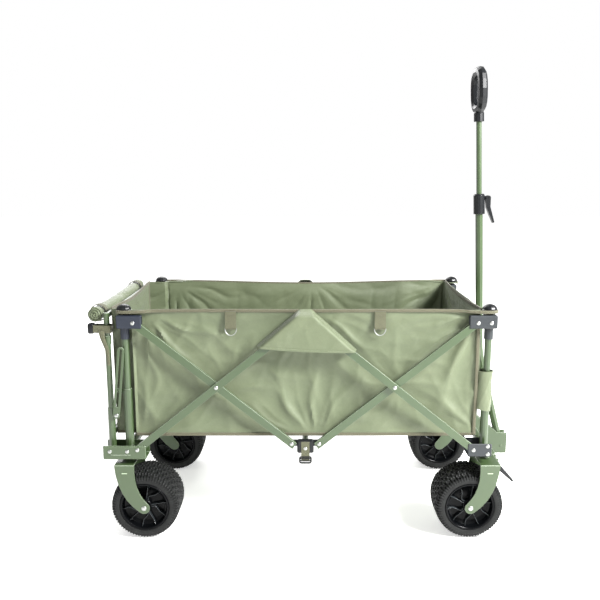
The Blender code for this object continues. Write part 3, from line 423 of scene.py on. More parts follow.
def cloth_material(name, colour, shade, pale):
    """Coated polyester, plain woven: threads 0.7 mm apart, drawn at 1.8 mm so that they show,
    paler along worn creases and darker in broad patches, with painted shade where the weave sinks between
    its threads, and the coating's soft sheen."""
    material, tree, shader = new_material(name)
    coords = add_node(tree, "ShaderNodeTexCoord")
    place, surface = coords.outputs["Object"], coords.outputs["UV"]
    patch = add_node(tree, "ShaderNodeTexNoise", Vector=place, Scale=7.0, Detail=4.0, Roughness=0.6)
    fine = add_node(tree, "ShaderNodeTexNoise", Vector=place, Scale=160.0, Detail=3.0)
    crumple = add_node(tree, "ShaderNodeTexNoise", Vector=place, Scale=16.0, Detail=5.0, Distortion=0.5)
    soft = add_node(tree, "ShaderNodeBump", Strength=0.30, Distance=0.005, Height=crumple.outputs[0])
    normal, threads = woven(tree, surface, 0.0018, 0.0018, 0.00025, Normal=soft.outputs[0])
    broad = add_node(tree, "ShaderNodeMix", COLOURS, in0=patch.outputs[0], in6=shade, in7=colour)
    lift = add_node(tree, "ShaderNodeMapRange", Value=crumple.outputs[0], From_Min=0.58, From_Max=0.9,
                    To_Max=0.35)
    wear_and_painted_highlight = add_node(tree, "ShaderNodeMix", COLOURS, in0=lift.outputs[0], in6=broad.outputs[2], in7=pale)
    # painted shade: the weave is darkened where its threads sink
    painted_thread_shade = add_node(tree, "ShaderNodeMapRange", Value=threads, From_Min=-1.0, To_Min=0.90, To_Max=1.0)
    speck = add_node(tree, "ShaderNodeMapRange", Value=fine.outputs[0], To_Min=0.92, To_Max=1.08)
    value = add_node(tree, "ShaderNodeMath", {"operation": "MULTIPLY"},
                     in0=painted_thread_shade.outputs[0], in1=speck.outputs[0])
    tint = add_node(tree, "ShaderNodeHueSaturation", Value=value.outputs[0], Color=wear_and_painted_highlight.outputs[2])
    set_inputs(tree, shader, Base_Color=tint.outputs[0], Normal=normal, Roughness=0.50,
               Sheen_Weight=0.25, Sheen_Roughness=0.4)
    return material


def webbing_material(name, colour, shade):
    """Woven webbing and binding tape: ribs 2 mm apart across the tape, crossed by finer threads,
    darker at random and darker where the threads sink, which is painted shade.
    """
    material, tree, shader = new_material(name)
    coords = add_node(tree, "ShaderNodeTexCoord")
    fuzz = add_node(tree, "ShaderNodeTexNoise", Vector=coords.outputs["Object"], Scale=350.0, Detail=3.0)
    normal, threads = woven(tree, coords.outputs["UV"], 0.0020, 0.0014, 0.0005)
    # the shade colour goes where the fuzz is low, at random, and where the threads sink, a painted shade
    part = add_node(tree, "ShaderNodeMath", {"operation": "MULTIPLY_ADD"},
                    in0=threads, in1=0.35, in2=fuzz.outputs[0])
    tone = add_node(tree, "ShaderNodeMix", COLOURS, in0=part.outputs[0], in6=shade, in7=colour)
    set_inputs(tree, shader, Base_Color=tone.outputs[2], Normal=normal, Roughness=0.8,
               Sheen_Weight=0.2)
    return material


def plated_material():
    """Zinc or nickel plated steel, barrel-plated: bright metal with faint handling scuffs."""
    material, tree, shader = new_material("plated_steel")
    place = add_node(tree, "ShaderNodeTexCoord").outputs["Object"]
    scuff = add_node(tree, "ShaderNodeTexNoise", Vector=place, Scale=600.0, Detail=3.0).outputs[0]
    rough = add_node(tree, "ShaderNodeMapRange", Value=scuff, To_Min=0.30, To_Max=0.48)
    tone = add_node(tree, "ShaderNodeMix", COLOURS, in0=scuff, in6="8f918e", in7="b9bbb8")
    set_inputs(tree, shader, Base_Color=tone.outputs[2], Roughness=rough.outputs[0], Metallic=1.0)
    return material


def finish(name):
    """The material of that name, made on first use."""
    if name not in bpy.data.materials:
        looks = bpy.context.scene.wagon_looks
        # colour, shade, roughness, grain, its depth and the gloss level. The stamped bars' steel is the
        # powder coat painted paler, a painted highlight where they stand proud; it has no peel, so it is
        # made here too
        plastics = {
            "moulded_black_nylon": (looks.black_colour, "0c0e11", 0.36, 1500.0, 0.08),
            "moulded_grey_nylon": (looks.grey_colour, "282c2f", 0.42, 1500.0, 0.10),
            "moulded_blue_black_nylon": (looks.bracket_colour, "1d222b", 0.40, 1500.0, 0.10),
            "moulded_rim_plastic": (looks.rim_colour, "050607", 0.24, 1200.0, 0.05, 0.09),
            # the ribs are the rim's own plastic painted lighter, a painted highlight on them
            "moulded_rib_plastic": ("2e3335", "1b1f20", 0.22, 1200.0, 0.05, 0.5),
            "rubbed_steel": ("b4c2a9", "8d9f80", 0.30, 1500.0, 0.05),
        }
        woven_goods = {
            "coated_polyester": (cloth_material, looks.cloth_colour, looks.cloth_shade, looks.cloth_pale),
            "binding_tape": (webbing_material, looks.tape_colour, looks.tape_shade),
            "woven_webbing": (webbing_material, looks.webbing_colour, looks.webbing_shade),
        }
        if name in plastics:
            plastic_material(name, *plastics[name])
        elif name in woven_goods:
            maker, *colours = woven_goods[name]
            maker(name, *colours)
        else:
            {"powder_coated_steel": steel_material, "foam_rubber": rubber_material,
             "plated_steel": plated_material}[name]()
    return bpy.data.materials[name]


# ---------------------------------------------------------------- cloth shapes
def ridge(angle):
    """A wave with a sharp crest and a wide trough, from 0 to 1, like a crease in coated cloth."""
    return (1 - np.abs(np.sin(angle / 2))) ** 2


def creases(s, z, anchors, seed):
    """Height of the creases at a place on the cloth, in metres. From each anchor (along, height, folds,
    depth, reach) creases fan out: ridge waves of the angle about the anchor, which wobble with the
    distance, fade in over 15 to 105 mm and die away over the reach. Crumples in eight directions are
    added."""
    rng = np.random.default_rng(seed)
    total = np.zeros(np.broadcast(s, z).shape)
    for along, height, folds, depth, reach in anchors:
        ds, dz = s - along, z - height
        r, angle = np.hypot(ds, dz), np.arctan2(dz, ds)
        phase, twist = rng.uniform(0, 6.28), rng.uniform(3, 7)
        wave = ridge(folds * angle + phase + 0.7 * np.sin(twist * r * 6 + phase))
        wave += 0.3 * ridge(1.7 * folds * angle - 2 * phase + 0.5 * np.sin(r * 40))
        total += depth * wave * smoothstep(0.015, 0.105, r) * np.exp(-r / reach)
    for k in range(8):
        way, pace, phase = rng.uniform(0, math.pi), rng.uniform(35, 110), rng.uniform(0, 6.28, 3)
        run = s * math.cos(way) + z * math.sin(way)
        cross = z * math.cos(way) - s * math.sin(way)
        patch = smoothstep(0.35, 0.9, np.sin(run * 9 + phase[1]) * np.sin(cross * 13 + phase[2]))
        total += 0.0016 * patch * ridge(pace * run + phase[0] + 1.2 * np.sin(cross * 17))
    return total


def arch(x):
    """An even swell between the rear and front posts: a squared sine, 0 at the posts, 1 half way."""
    return np.sin(math.pi * np.clip((x - REAR_POST_X) / (FRONT_POST_X - REAR_POST_X), 0, 1)) ** 2


def wall_line(count):
    """The basket wall's line seen from above, near rear corner round by the front to the far rear corner,
    with rounded corners, evenly stepped. Returns points (x, y), outward normals and the distance run."""
    inset = CLOTH / 2 + 0.0008
    side_y, back_y = LINER_Y - inset, BACK_WALL_Y - inset
    front_x, step_x = LINER_FRONT_X - inset, LINER_BACK_STEP_X + inset
    turns = [(WALL_END_X, -back_y), (step_x, -back_y), (step_x, -side_y),
             (front_x, -side_y), (front_x, side_y), (step_x, side_y), (step_x, back_y),
             (WALL_END_X, back_y)]
    radii = [0, 0.004, 0.008, 0.020, 0.020, 0.008, 0.004, 0]
    corner = []
    for k, (point, radius) in enumerate(zip(turns, radii)):
        point = np.array(point)
        if radius == 0:
            corner.append(point[None])
            continue
        before = unit(np.array(turns[k - 1]) - point)
        after = unit(np.array(turns[k + 1]) - point)
        t = spread(0, 1, 9)[:, None]
        corner.append((1 - t) ** 2 * (point + before * radius) + 2 * t * (1 - t) * point
                      + t ** 2 * (point + after * radius))
    line = np.concatenate(corner)
    run = np.concatenate([[0], np.cumsum(np.linalg.norm(np.diff(line, axis=0), axis=1))])
    even = spread(0, run[-1], count)
    points = np.stack([np.interp(even, run, line[:, k]) for k in (0, 1)], -1)
    tangent = unit(np.gradient(points, axis=0))
    return points, np.stack([tangent[:, 1], -tangent[:, 0]], -1), even


def rim_sag(x, side):
    """How far the rim hangs below its corners: the far side sags and bows more than the near one."""
    return (0.002 if side < 0 else 0.006) * arch(x)


def basket_wall(columns=540, rows=70):
    """The wall's cloth: the plan line times the height, pushed along the line's normal by a hollow
    between the rim and the hem, and by creases that fan from the corners and hubs. It is held at the
    edges, the far side bows in at its rim, and turns of the plan line stay as they are."""
    line, normal, run = wall_line(columns)
    x, y = line[:, 0], line[:, 1]
    t = spread(0, 1, rows)[:, None]
    on_side = smoothstep(0.6, 0.95, np.abs(normal[:, 1]))
    sag = np.where(y < 0, rim_sag(x, -1), rim_sag(x, 1)) * on_side
    top = RIM_Z - sag
    z = LINER_LOW + 0.001 + (top - LINER_LOW - 0.001) * t
    front = run[-1] / 2
    near = np.interp(0, x[:columns // 3], run[:columns // 3])
    anchors = []
    for centre in (near, run[-1] - near):
        anchors += [(centre - 0.45, 0.640, 11, 0.0075, 0.22), (centre + 0.45, 0.640, 12, 0.0070, 0.20),
                    (centre, 0.655, 13, 0.0055, 0.16), (centre, 0.270, 12, 0.0060, 0.18),
                    (centre - 0.47, 0.290, 9, 0.0050, 0.13), (centre + 0.47, 0.290, 10, 0.0055, 0.15),
                    (centre - 0.24, 0.4425, 9, 0.0030, 0.10), (centre + 0.24, 0.4425, 9, 0.0030, 0.10)]
    anchors += [(front - 0.24, 0.650, 9, 0.0060, 0.15), (front + 0.24, 0.650, 9, 0.0060, 0.15),
                (front, 0.29, 8, 0.0050, 0.12)]
    push = creases(run[None, :], z, anchors, seed=7) * np.where(y > 0, 0.62, 1.0)
    hollow = 0.011 * np.sin(math.pi * t) * on_side * (0.45 + 0.55 * arch(x))
    bow = np.where(y > 0, FAR_BOW, 0.0) * on_side * smoothstep(0.5, 1, t) * arch(x)
    hold = smoothstep(0, 0.09, t) * (0.25 + 0.75 * smoothstep(0, 0.12, 1 - t))
    out = (1.9 * push - 0.0055) * hold - hollow
    # a soft stop, so that the creases leave room for the lattice bars
    soft = 0.0016
    out = CREASE_ROOM - soft * np.logaddexp(0, (CREASE_ROOM - out) / soft) - bow
    turn = smoothstep(0.0, 0.03, np.abs(np.abs(normal[:, 0]) - np.abs(normal[:, 1])) * 0.05)
    out *= turn
    grid = np.stack([x + normal[:, 0] * out, y + normal[:, 1] * out, z], -1)
    return grid, np.stack(np.broadcast_arrays(run[None, :], z), -1)


def basket_floor():
    """The floor's cloth: two flat runs, with shallow pillows between the sewn lines of its boards."""
    forms = []
    for x0, x1, half in ((WALL_END_X, LINER_BACK_STEP_X + 0.002, 0.2325),
                         (LINER_BACK_STEP_X + 0.002, LINER_FRONT_X - 0.002, LINER_Y - 0.003)):
        x, y = np.meshgrid(spread(x0, x1, 130 if x1 > 0 else 12), spread(-half, half, 70), indexing="ij")
        board = np.abs(np.sin(math.pi * (x - LINER_BACK_STEP_X) / 0.2375))
        z = LINER_LOW + 0.0018 + 0.0022 * (1 - np.exp(-board / 0.08)) + 0.0008 * ridge(x * 60 + y * 25)
        forms.append(np.stack([x, y, z], -1))
    return forms


def rim_path(side, count=150):
    """Rim tape's path on one side: round the back of the rear dome's foot, down to the wall's rim,
    along it with its sag, and up to the front dome."""
    y_out, y_wall = POST_Y + 0.0225, LINER_Y - 0.0005
    z_top = DOME_LOW_Z + 0.0085
    path = spline([(REAR_POST_X - 0.0185, side * (POST_Y - 0.006), z_top - 0.001),
                   (REAR_POST_X - 0.015, side * (POST_Y + 0.016), z_top),
                   (REAR_POST_X + 0.008, side * y_out, z_top),
                   (REAR_POST_X + 0.050, side * (y_out - 0.003), z_top + 0.001),
                   (REAR_POST_X + 0.105, side * (y_wall + 0.002), RIM_Z - 0.001),
                   (MID_X - 0.20, side * y_wall, RIM_Z), (MID_X, side * y_wall, RIM_Z),
                   (MID_X + 0.20, side * y_wall, RIM_Z),
                   (FRONT_POST_X - 0.105, side * (y_wall + 0.002), RIM_Z - 0.001),
                   (FRONT_POST_X - 0.050, side * (y_out - 0.003), z_top + 0.001),
                   (FRONT_POST_X - 0.004, side * y_out, z_top),
                   (FRONT_POST_X + 0.018, side * (POST_Y + 0.013), z_top),
                   (FRONT_POST_X + 0.0195, side * (POST_Y - 0.008), z_top - 0.001)], count)
    t = np.clip((path[:, 0] - REAR_POST_X) / (FRONT_POST_X - REAR_POST_X), 0, 1)
    path[:, 2] -= rim_sag(path[:, 0], side)
    if side > 0:
        path[:, 1] -= FAR_BOW * arch(path[:, 0]) * smoothstep(0.08, 0.3, t) * smoothstep(0.08, 0.3, 1 - t)
    return path


def corner_flap(side, post_x, inward):
    """Tongue of cloth over a corner bracket, from the wall's rim out under the dome: straight lines run
    from an inner edge on the wall to an outer edge that swells round the dome's foot, with a soft crown."""
    u = spread(0, 1, 26)[:, None]
    v = spread(0, 1, 60)[None, :]
    x = post_x + inward * (-0.0185 + 0.125 * v)
    away = inward * (x - post_x)
    inner = POST_Y - 0.020 + (LINER_Y - 0.006 - POST_Y + 0.020) * smoothstep(0.004, 0.03, away)
    round_foot = np.sqrt(np.clip(1 - ((x - post_x) / 0.024) ** 2, 0, 1))
    swell = np.where(away < 0, round_foot, 1 - smoothstep(0.040, 0.110, away))
    outer = LINER_Y - 0.001 + 0.0165 * swell
    y = inner + (outer - inner) * u
    low = DOME_LOW_Z + 0.0080
    z = low + (RIM_Z - low) * smoothstep(0.035, 0.10, away) * np.ones_like(u)
    z = z + 0.0016 * np.sin(math.pi * u) * smoothstep(0.02, 0.06, away)
    return np.stack([x * np.ones_like(u), side * y, z], -1)


# ---------------------------------------------------------------- pieces
class WAGON_PG_looks(bpy.types.PropertyGroup):
    """Colours of the wagon's finishes, as sRGB hex."""
    steel_colour: bpy.props.StringProperty(
        name="Steel colour", description="Powder coat where it is light", default="3d4e2f")
    steel_shade: bpy.props.StringProperty(
        name="Steel shade", description="Powder coat where it is dark", default="304125")
    cloth_colour: bpy.props.StringProperty(
        name="Cloth colour", description="Basket cloth", default="687055")
    cloth_shade: bpy.props.StringProperty(
        name="Cloth shade", description="Basket cloth in its darker patches", default="4e583f")
    cloth_pale: bpy.props.StringProperty(
        name="Cloth crease", description="Basket cloth where its creases are worn", default="818970")
    tape_colour: bpy.props.StringProperty(
        name="Tape colour", description="Binding tape on the edges", default="5d5b47")
    tape_shade: bpy.props.StringProperty(
        name="Tape shade", description="Binding tape between its threads", default="43412e")
    webbing_colour: bpy.props.StringProperty(
        name="Webbing colour", description="Straps and tabs", default="5c5c44")
    webbing_shade: bpy.props.StringProperty(
        name="Webbing shade", description="Straps between their ribs", default="393b28")
    black_colour: bpy.props.StringProperty(
        name="Black nylon", description="Domes, hubs, clamp and buckles", default="070a0c")
    grey_colour: bpy.props.StringProperty(
        name="Grey nylon", description="Front corner brackets", default="2f3234")
    bracket_colour: bpy.props.StringProperty(
        name="Blue-black nylon", description="Rear corner brackets", default="262b37")
    rim_colour: bpy.props.StringProperty(
        name="Rim plastic", description="Wheel rims", default="08090b")
    rubber_colour: bpy.props.StringProperty(
        name="Tyre rubber", description="Tyre where it is clean", default="090a0a")
    rubber_dust: bpy.props.StringProperty(
        name="Tyre dust", description="Tyre where it is dusty", default="121413")


class WAGON_PG_sizes(bpy.types.PropertyGroup):
    """Sizes of the sewn and moulded detail that may be changed without touching the frame."""
    lug_pitch: bpy.props.FloatProperty(
        name="Tread pitch", description="Distance from one tread block to the next",
        default=0.0085, unit="LENGTH")
    lug_depth: bpy.props.FloatProperty(
        name="Tread depth", description="Depth of the grooves between tread blocks",
        default=0.0042, unit="LENGTH")
    rim_ribs: bpy.props.IntProperty(
        name="Rim ribs", description="Ribs on each face of a rim", default=10)
    tab_out: bpy.props.FloatProperty(
        name="Tab spread", description="Hanging tabs from the wagon's middle plane",
        default=0.2015, unit="LENGTH")


class WAGON_OT_basket(bpy.types.Operator):
    """Adds the basket: wall and floor of creased cloth, hung inside the lattice"""
    bl_idname = "wagon.basket"
    bl_label = "Basket cloth"

    def execute(self, context):
        form = Form()
        grid, uv = basket_wall()
        form.add(*slab(grid, CLOTH, uv))
        for floor in basket_floor():
            form.add(*slab(floor, CLOTH, floor[..., :2]))
        piece = make_piece("basket_cloth", form, "rear_top", finish("coated_polyester"),
                           replaces=["liner"])
        folds_up(piece)
        return {"FINISHED"}


def folds_up(piece):
    """Gives a basket piece a mesh of its own."""
    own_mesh(piece)


class WAGON_OT_bindings(bpy.types.Operator):
    """Adds the tape that binds the basket's rim, hem and front edges, and the cloth corner flaps"""
    bl_idname = "wagon.bindings"
    bl_label = "Bindings and corner flaps"

    def execute(self, context):
        tape = Form()
        rim = rounded(BINDING_THICK / 2, BINDING_HIGH / 2)
        for side, _ in SIDES:
            tape.add(*sweep(rim_path(side), rim))
            # upright tape on the front edge
            x = LINER_FRONT_X - 0.010
            upright = spline([(x, side * (LINER_Y - 0.0005), LINER_LOW + 0.004),
                              (x + 0.001, side * (LINER_Y - 0.001), 0.45),
                              (x, side * (LINER_Y - 0.0005), RIM_Z - 0.004)], 30)
            tape.add(*sweep(upright, rounded(0.0016, 0.0045), up=(1, 0, 0)))
        line, normal, _ = wall_line(360)
        hem = np.column_stack([line + normal * 0.0006, np.full(len(line), LINER_LOW + 0.0045)])
        tape.add(*sweep(hem, rounded(BINDING_THICK / 2 - 0.0004, 0.0045)))
        front = spline([(LINER_FRONT_X - 0.001, -LINER_Y + 0.010, RIM_Z - 0.001),
                        (LINER_FRONT_X - 0.004, 0, RIM_Z - 0.008),
                        (LINER_FRONT_X - 0.001, LINER_Y - 0.010, RIM_Z - 0.001)], 50)
        tape.add(*sweep(front, rim))
        folds_up(make_piece("basket_tape", tape, "rear_top", finish("binding_tape")))
        flaps = Form()
        for side, _ in SIDES:
            for post_x, inward in ((REAR_POST_X, 1), (FRONT_POST_X, -1)):
                flaps.add(*slab(corner_flap(side, post_x, inward), CLOTH))
        piece = make_piece("corner_flaps", flaps, "rear_top", finish("coated_polyester"))
        folds_up(piece)
        return {"FINISHED"}


class WAGON_OT_hub_sleeves(bpy.types.Operator):
    """Adds the triangular sleeve over the middle of the lattice on both sides"""
    bl_idname = "wagon.hub_sleeves"
    bl_label = "Hub sleeves"

    def execute(self, context):
        cloth, tape = Form(), Form()
        for side, _ in SIDES:
            # rows run from the blunt apex to the open base; each edge wraps over the bars to the wall
            t = spread(0, 1, 34)[:, None]
            s = spread(-1, 1, 91)[None, :]
            centre = MID_X + 0.004 * t
            half = 0.016 + 0.119 * t
            x = centre + s * half
            z = 0.6545 - 0.106 * t - 0.006 * t * s - 0.004 * (1 - s ** 2) * t ** 2
            edge = (1 - np.abs(s)) * half
            stand = 0.033 * (1 - np.exp(-(edge / 0.0045) ** 1.5)) * smoothstep(-0.02, 0.16, t)
            pull = creases(x - MID_X, z, [(0.0, 0.655, 9, 0.0022, 0.09), (-0.12, 0.56, 7, 0.0014, 0.05),
                                          (0.13, 0.55, 7, 0.0014, 0.05)], seed=11)
            y = LINER_Y + 0.0012 + stand + pull * smoothstep(0.002, 0.02, edge) * 0.7
            grid = np.stack([x, side * y, z * np.ones_like(x)], -1)
            cloth.add(*slab(grid, 0.0012))
            base = grid[-1] + np.array([0, side * 0.0004, 0.0022])
            tape.add(*sweep(base[2:-2], rounded(0.0012, 0.0030)))
        piece = make_piece("hub_sleeves", cloth, "rear_top", finish("coated_polyester"))
        folds_up(piece)
        hem = make_piece("hub_sleeve_hems", tape, "rear_top", finish("coated_polyester"))
        folds_up(hem)
        return {"FINISHED"}


class WAGON_OT_tabs(bpy.types.Operator):
    """Adds the hanging tabs of webbing and their D-rings"""
    bl_idname = "wagon.tabs"
    bl_label = "Tabs and D-rings"

    def execute(self, context):
        looks = context.scene.wagon_sizes
        webbing, rings, stitches = Form(), Form(), Form()
        for side, _ in SIDES:
            for out in (-1, 1):
                x0 = MID_X + out * looks.tab_out
                face = side * (LINER_Y + 0.0030)
                bow = 0.0126 if side > 0 else 0.0
                # the tab runs down the wall, round the ring's bar and up behind itself
                drop = spline([(0.0, RIM_Z - 0.003), (0.0002, 0.625), (0.0022, 0.6035),
                               (0.0000, 0.5995), (-0.0014, 0.6035), (-0.0010, 0.625)], 40)
                across = spread(-TAB_WIDE / 2, TAB_WIDE / 2, 17)
                hang = drop[:, :1] - bow * (0.62 + 0.38 * smoothstep(0.60, RIM_Z, drop[:, 1:]))
                grid = np.stack(np.broadcast_arrays(
                    x0 + across[None, :], face + side * hang, drop[:, 1:]), -1)
                shift = -0.62 * bow
                webbing.add(*slab(grid, WEBBING))
                # ring: a straight bar through the tab's loop and a half round below it
                turn = spread(0, math.pi, 22)
                half_round = np.stack([0.0155 * np.cos(turn), -0.0005 - 0.0185 * np.sin(turn)], -1)
                bar = np.stack([spread(-0.0155, 0.0155, 8)[1:-1], np.zeros(6)], -1)
                line = np.concatenate([half_round, bar])
                ring_y = np.full(len(line), face + side * (0.0008 + shift))
                path = np.column_stack([x0 + line[:, 0], ring_y, 0.6018 + line[:, 1]])
                rings.add(*sweep(path, rounded(0.0014, 0.0014, 2, 10), up=(0, 1, 0), closed=True))
                for z in (0.6385, 0.6135):
                    for k in spread(-TAB_WIDE / 2 + 0.003, TAB_WIDE / 2 - 0.003, 9):
                        seam_y = face + side * (0.0012 + shift)
                        seam = [(x0 + k - 0.0011, seam_y, z), (x0 + k + 0.0011, seam_y, z)]
                        stitches.add(*sweep(seam, rounded(0.0004, 0.0005, 2, 6)))
        for name, form, look, slot in (("hanging_tabs", webbing, "woven_webbing", "webbing"),
                                       ("d_rings", rings, "plated_steel", "chrome_wire"),
                                       ("tab_stitches", stitches, "binding_tape", "webbing")):
            folds_up(make_piece(name, form, "rear_top", finish(look)))
        return {"FINISHED"}


class WAGON_OT_tailgate(bpy.types.Operator):
    """Adds the tailgate's cloth panel, the rolled cover on top of it, and their straps and buckles"""
    bl_idname = "wagon.tailgate"
    bl_label = "Tailgate cloth and roll"

    def execute(self, context):
        low, high = PANEL_BOX
        x_mid = (low.x + high.x) / 2
        half = high.y - 0.001
        z = spread(low.z + 0.001, high.z - 0.001, 60)[:, None]
        y = spread(-half, half, 120)[None, :]
        fold = creases(y, z, [(-0.21, 0.63, 10, 0.004, 0.18), (0.21, 0.63, 10, 0.004, 0.18),
                              (-0.21, 0.31, 8, 0.003, 0.14), (0.21, 0.31, 8, 0.003, 0.14),
                              (0.0, 0.66, 12, 0.003, 0.14)], seed=5)
        hold = smoothstep(0, 0.03, z - low.z) * smoothstep(0, 0.03, high.z - z) * smoothstep(
            0, 0.03, half - np.abs(y))
        sag = 0.010 * np.sin(math.pi * (y + half) / (2 * half)) ** 2
        x = x_mid + (fold * 0.8 - 0.002) * hold
        drop = sag * smoothstep(0.3, 1, (z - low.z) / (high.z - low.z))
        grid = np.stack(np.broadcast_arrays(x, y, z - drop), -1)
        panel = make_piece("tailgate_cloth", Form().add(*slab(grid, CLOTH, grid[..., 1:])), "tailgate_top",
                           finish("coated_polyester"), replaces=["tailgate_panel"])
        tape = Form()
        edge = rounded(BINDING_THICK / 2, BINDING_HIGH / 2)
        tape.add(*sweep(grid[-1] + np.array([0, 0, -0.001]), edge))
        for column in (2, -3):
            tape.add(*sweep(grid[:, column], rounded(0.0018, 0.0045), up=(0, 1, 0)))
        make_piece("tailgate_tape", tape, "tailgate_top", finish("binding_tape"))
        self.roll()
        self.straps()
        return {"FINISHED"}

    def roll(self):
        """Rolled cover: a spiral step round a tube along Y, pinched under its straps, lumpy between
        them; each end closes in rings whose height follows a spiral, as rolled cloth does."""
        low, high = ROLL_BOX
        cx, cz, radius = (low.x + high.x) / 2, (low.z + high.z) / 2, (high.x - low.x) / 2
        long = high.y - 0.006
        y = np.concatenate([np.full(9, -long), spread(-long, long, 170), np.full(9, long)])
        shrink = np.concatenate([spread(0.06, 0.93, 9), np.ones(170), spread(0.93, 0.06, 9)])
        angle = spread(0, 2 * math.pi, 73)[:-1][None, :]
        rng = np.random.default_rng(3)
        body = np.zeros((len(y), 72))
        for _ in range(7):
            pace, twist = rng.uniform(14, 60), rng.integers(1, 4)
            phase = rng.uniform(0, 6.28, 2)
            body += 0.024 * ridge(pace * y[:, None] + twist * angle + phase[0]) * np.sin(
                angle + phase[1] + 5 * y[:, None])
        pinched = (ROLL_STRAPS_Y[0], 0.0, ROLL_STRAPS_Y[1])
        pinch = sum(np.exp(-((y - at) / 0.016) ** 2) for at in pinched)[:, None]
        step = 0.10 * ((angle - 2.1) % (2 * math.pi)) / (2 * math.pi)
        r = radius * (0.80 + step + body - 0.12 * pinch - 0.05 * np.abs(np.sin(9 * y))[:, None])
        ends = (shrink < 1)[:, None]
        spiral = 0.0022 * np.cos(2 * math.pi * shrink[:, None] * 3.2 - angle)
        lean = np.where(ends, np.sign(y)[:, None] * (spiral + 0.004 * (1 - shrink[:, None] ** 2)), 0.0)
        r = np.clip(r, 0.6 * radius, 0.985 * radius) * shrink[:, None]
        sag = 0.006 * (1 - (y / long) ** 2)[:, None]
        grid = np.stack([cx + r * np.cos(angle), y[:, None] + lean, cz - sag + r * np.sin(angle)], -1)
        points = np.concatenate([grid.reshape(-1, 3), grid[:1].mean(1), grid[-1:].mean(1)])
        uv = np.concatenate([lengths(grid).reshape(-1, 2), np.zeros((2, 2))])
        form = Form().add(points, tube_faces(*grid.shape[:2]), uv)
        piece = make_piece("rolled_cover", form, "tailgate_top",
                           finish("coated_polyester"), replaces=["tailgate_roll"])

    def straps(self):
        """Straps round the roll and rail, side-release buckles at the corners, and the straps' tails."""
        low, high = ROLL_BOX
        cx, cz, radius = (low.x + high.x) / 2, (low.z + high.z) / 2, (high.x - low.x) / 2
        webbing, buckles = Form(), Form()
        flat = rounded(WEBBING / 2, 0.0105)
        turn = spread(0, 2 * math.pi, 49)[:-1]
        for at in ROLL_STRAPS_Y:
            loop = np.column_stack([cx + 0.0008 + 0.93 * radius * np.cos(turn), np.full(48, at),
                                    cz - 0.0012 + 0.94 * radius * np.sin(turn)])
            outwards = np.column_stack([np.cos(turn), 0 * turn, np.sin(turn)])
            webbing.add(*sweep(loop, flat[:, ::-1], up=outwards, closed=True))
        for side, _ in SIDES:
            y_in, y_out = POST_Y - 0.0125, POST_Y + 0.0125
            loop = spline([(RAIL_X - 0.034, side * y_out, 0.601),
                           (RAIL_X - 0.010, side * (y_out + 0.0006), 0.600),
                           (RAIL_X + 0.012, side * y_out, 0.600), (RAIL_X + 0.0135, side * POST_Y, 0.600),
                           (RAIL_X + 0.012, side * y_in, 0.600), (RAIL_X - 0.014, side * y_in, 0.600),
                           (RAIL_X - 0.034, side * (y_in + 0.002), 0.601)], 60)
            webbing.add(*sweep(loop, flat))
            tail = spline([(RAIL_X - 0.012, side * (y_out + 0.0016), 0.596),
                           (RAIL_X - 0.008, side * (y_out + 0.0030), 0.575),
                           (RAIL_X + 0.002, side * (y_out + 0.0022), 0.540),
                           (RAIL_X + 0.004, side * (y_out + 0.0012), 0.500)], 40)
            wide = (0.0080 - 0.0045 * spread(0, 1, 40))[:, None]
            across = spread(-1, 1, 9)[None, :]
            grid = tail[:, None] + np.stack([wide * across, 0.0015 * side * (1 - across ** 2) + 0 * wide,
                                             0 * wide * across], -1)
            webbing.add(*slab(grid, WEBBING))
            for x, half in ((RAIL_X - 0.0415, (0.0085, 0.0115, 0.0145)),
                            (RAIL_X - 0.0330, (0.0045, 0.0090, 0.0110))):
                buckles.add(*pebble((x, side * (POST_Y + 0.002), 0.601), half))
        make_piece("roll_straps", webbing, "tailgate_top", finish("woven_webbing"))
        make_piece("roll_buckles", buckles, "tailgate_top", finish("moulded_black_nylon"))


def pebble(centre, half, power=5, rows=15, columns=24):
    """A rounded block, a superellipsoid: the sine and cosine of both angles are raised to 2 / power."""
    def bend(v):
        return np.sign(v) * np.abs(v) ** (2 / power)
    lat = spread(-math.pi / 2, math.pi / 2, rows)[1:-1][:, None]
    lon = spread(0, 2 * math.pi, columns + 1)[:-1][None, :]
    grid = np.stack(np.broadcast_arrays(half[0] * bend(np.cos(lat)) * bend(np.cos(lon)),
                                        half[1] * bend(np.cos(lat)) * bend(np.sin(lon)),
                                        half[2] * bend(np.sin(lat))), -1) + np.asarray(centre)
    poles = np.asarray(centre) + np.array([[0, 0, -half[2]], [0, 0, half[2]]])
    return np.concatenate([grid.reshape(-1, 3), poles]), tube_faces(rows - 2, columns)


class WAGON_OT_sleeves(bpy.types.Operator):
    """Adds the cloth sleeves that hold the front wall to the front posts"""
    bl_idname = "wagon.sleeves"
    bl_label = "Post sleeves"

    def execute(self, context):
        form = Form()
        for side, _ in SIDES:
            t = spread(0, 1, 40)[:, None]
            angle = spread(0, 2 * math.pi, 57)[:-1][None, :]
            cx = FRONT_POST_X - 0.0035 - 0.003 * (1 - t)
            long, wide = 0.0195 + 0.0012 * np.sin(7 * t), 0.0148 + 0.0010 * np.cos(5 * t)
            ripple = 0.0010 * ridge(5 * angle + 9 * t)
            x = cx + (long + ripple) * np.cos(angle)
            y = side * (POST_Y + (wide + ripple) * np.sin(angle))
            z = 0.371 + 0.111 * t - 0.004 * np.cos(angle) * (1 - t)
            form.add(*slab(np.stack(np.broadcast_arrays(x, y, z), -1), 0.0014, wrap=True))
        make_piece("post_sleeves", form, "front_frame", finish("coated_polyester"))
        return {"FINISHED"}


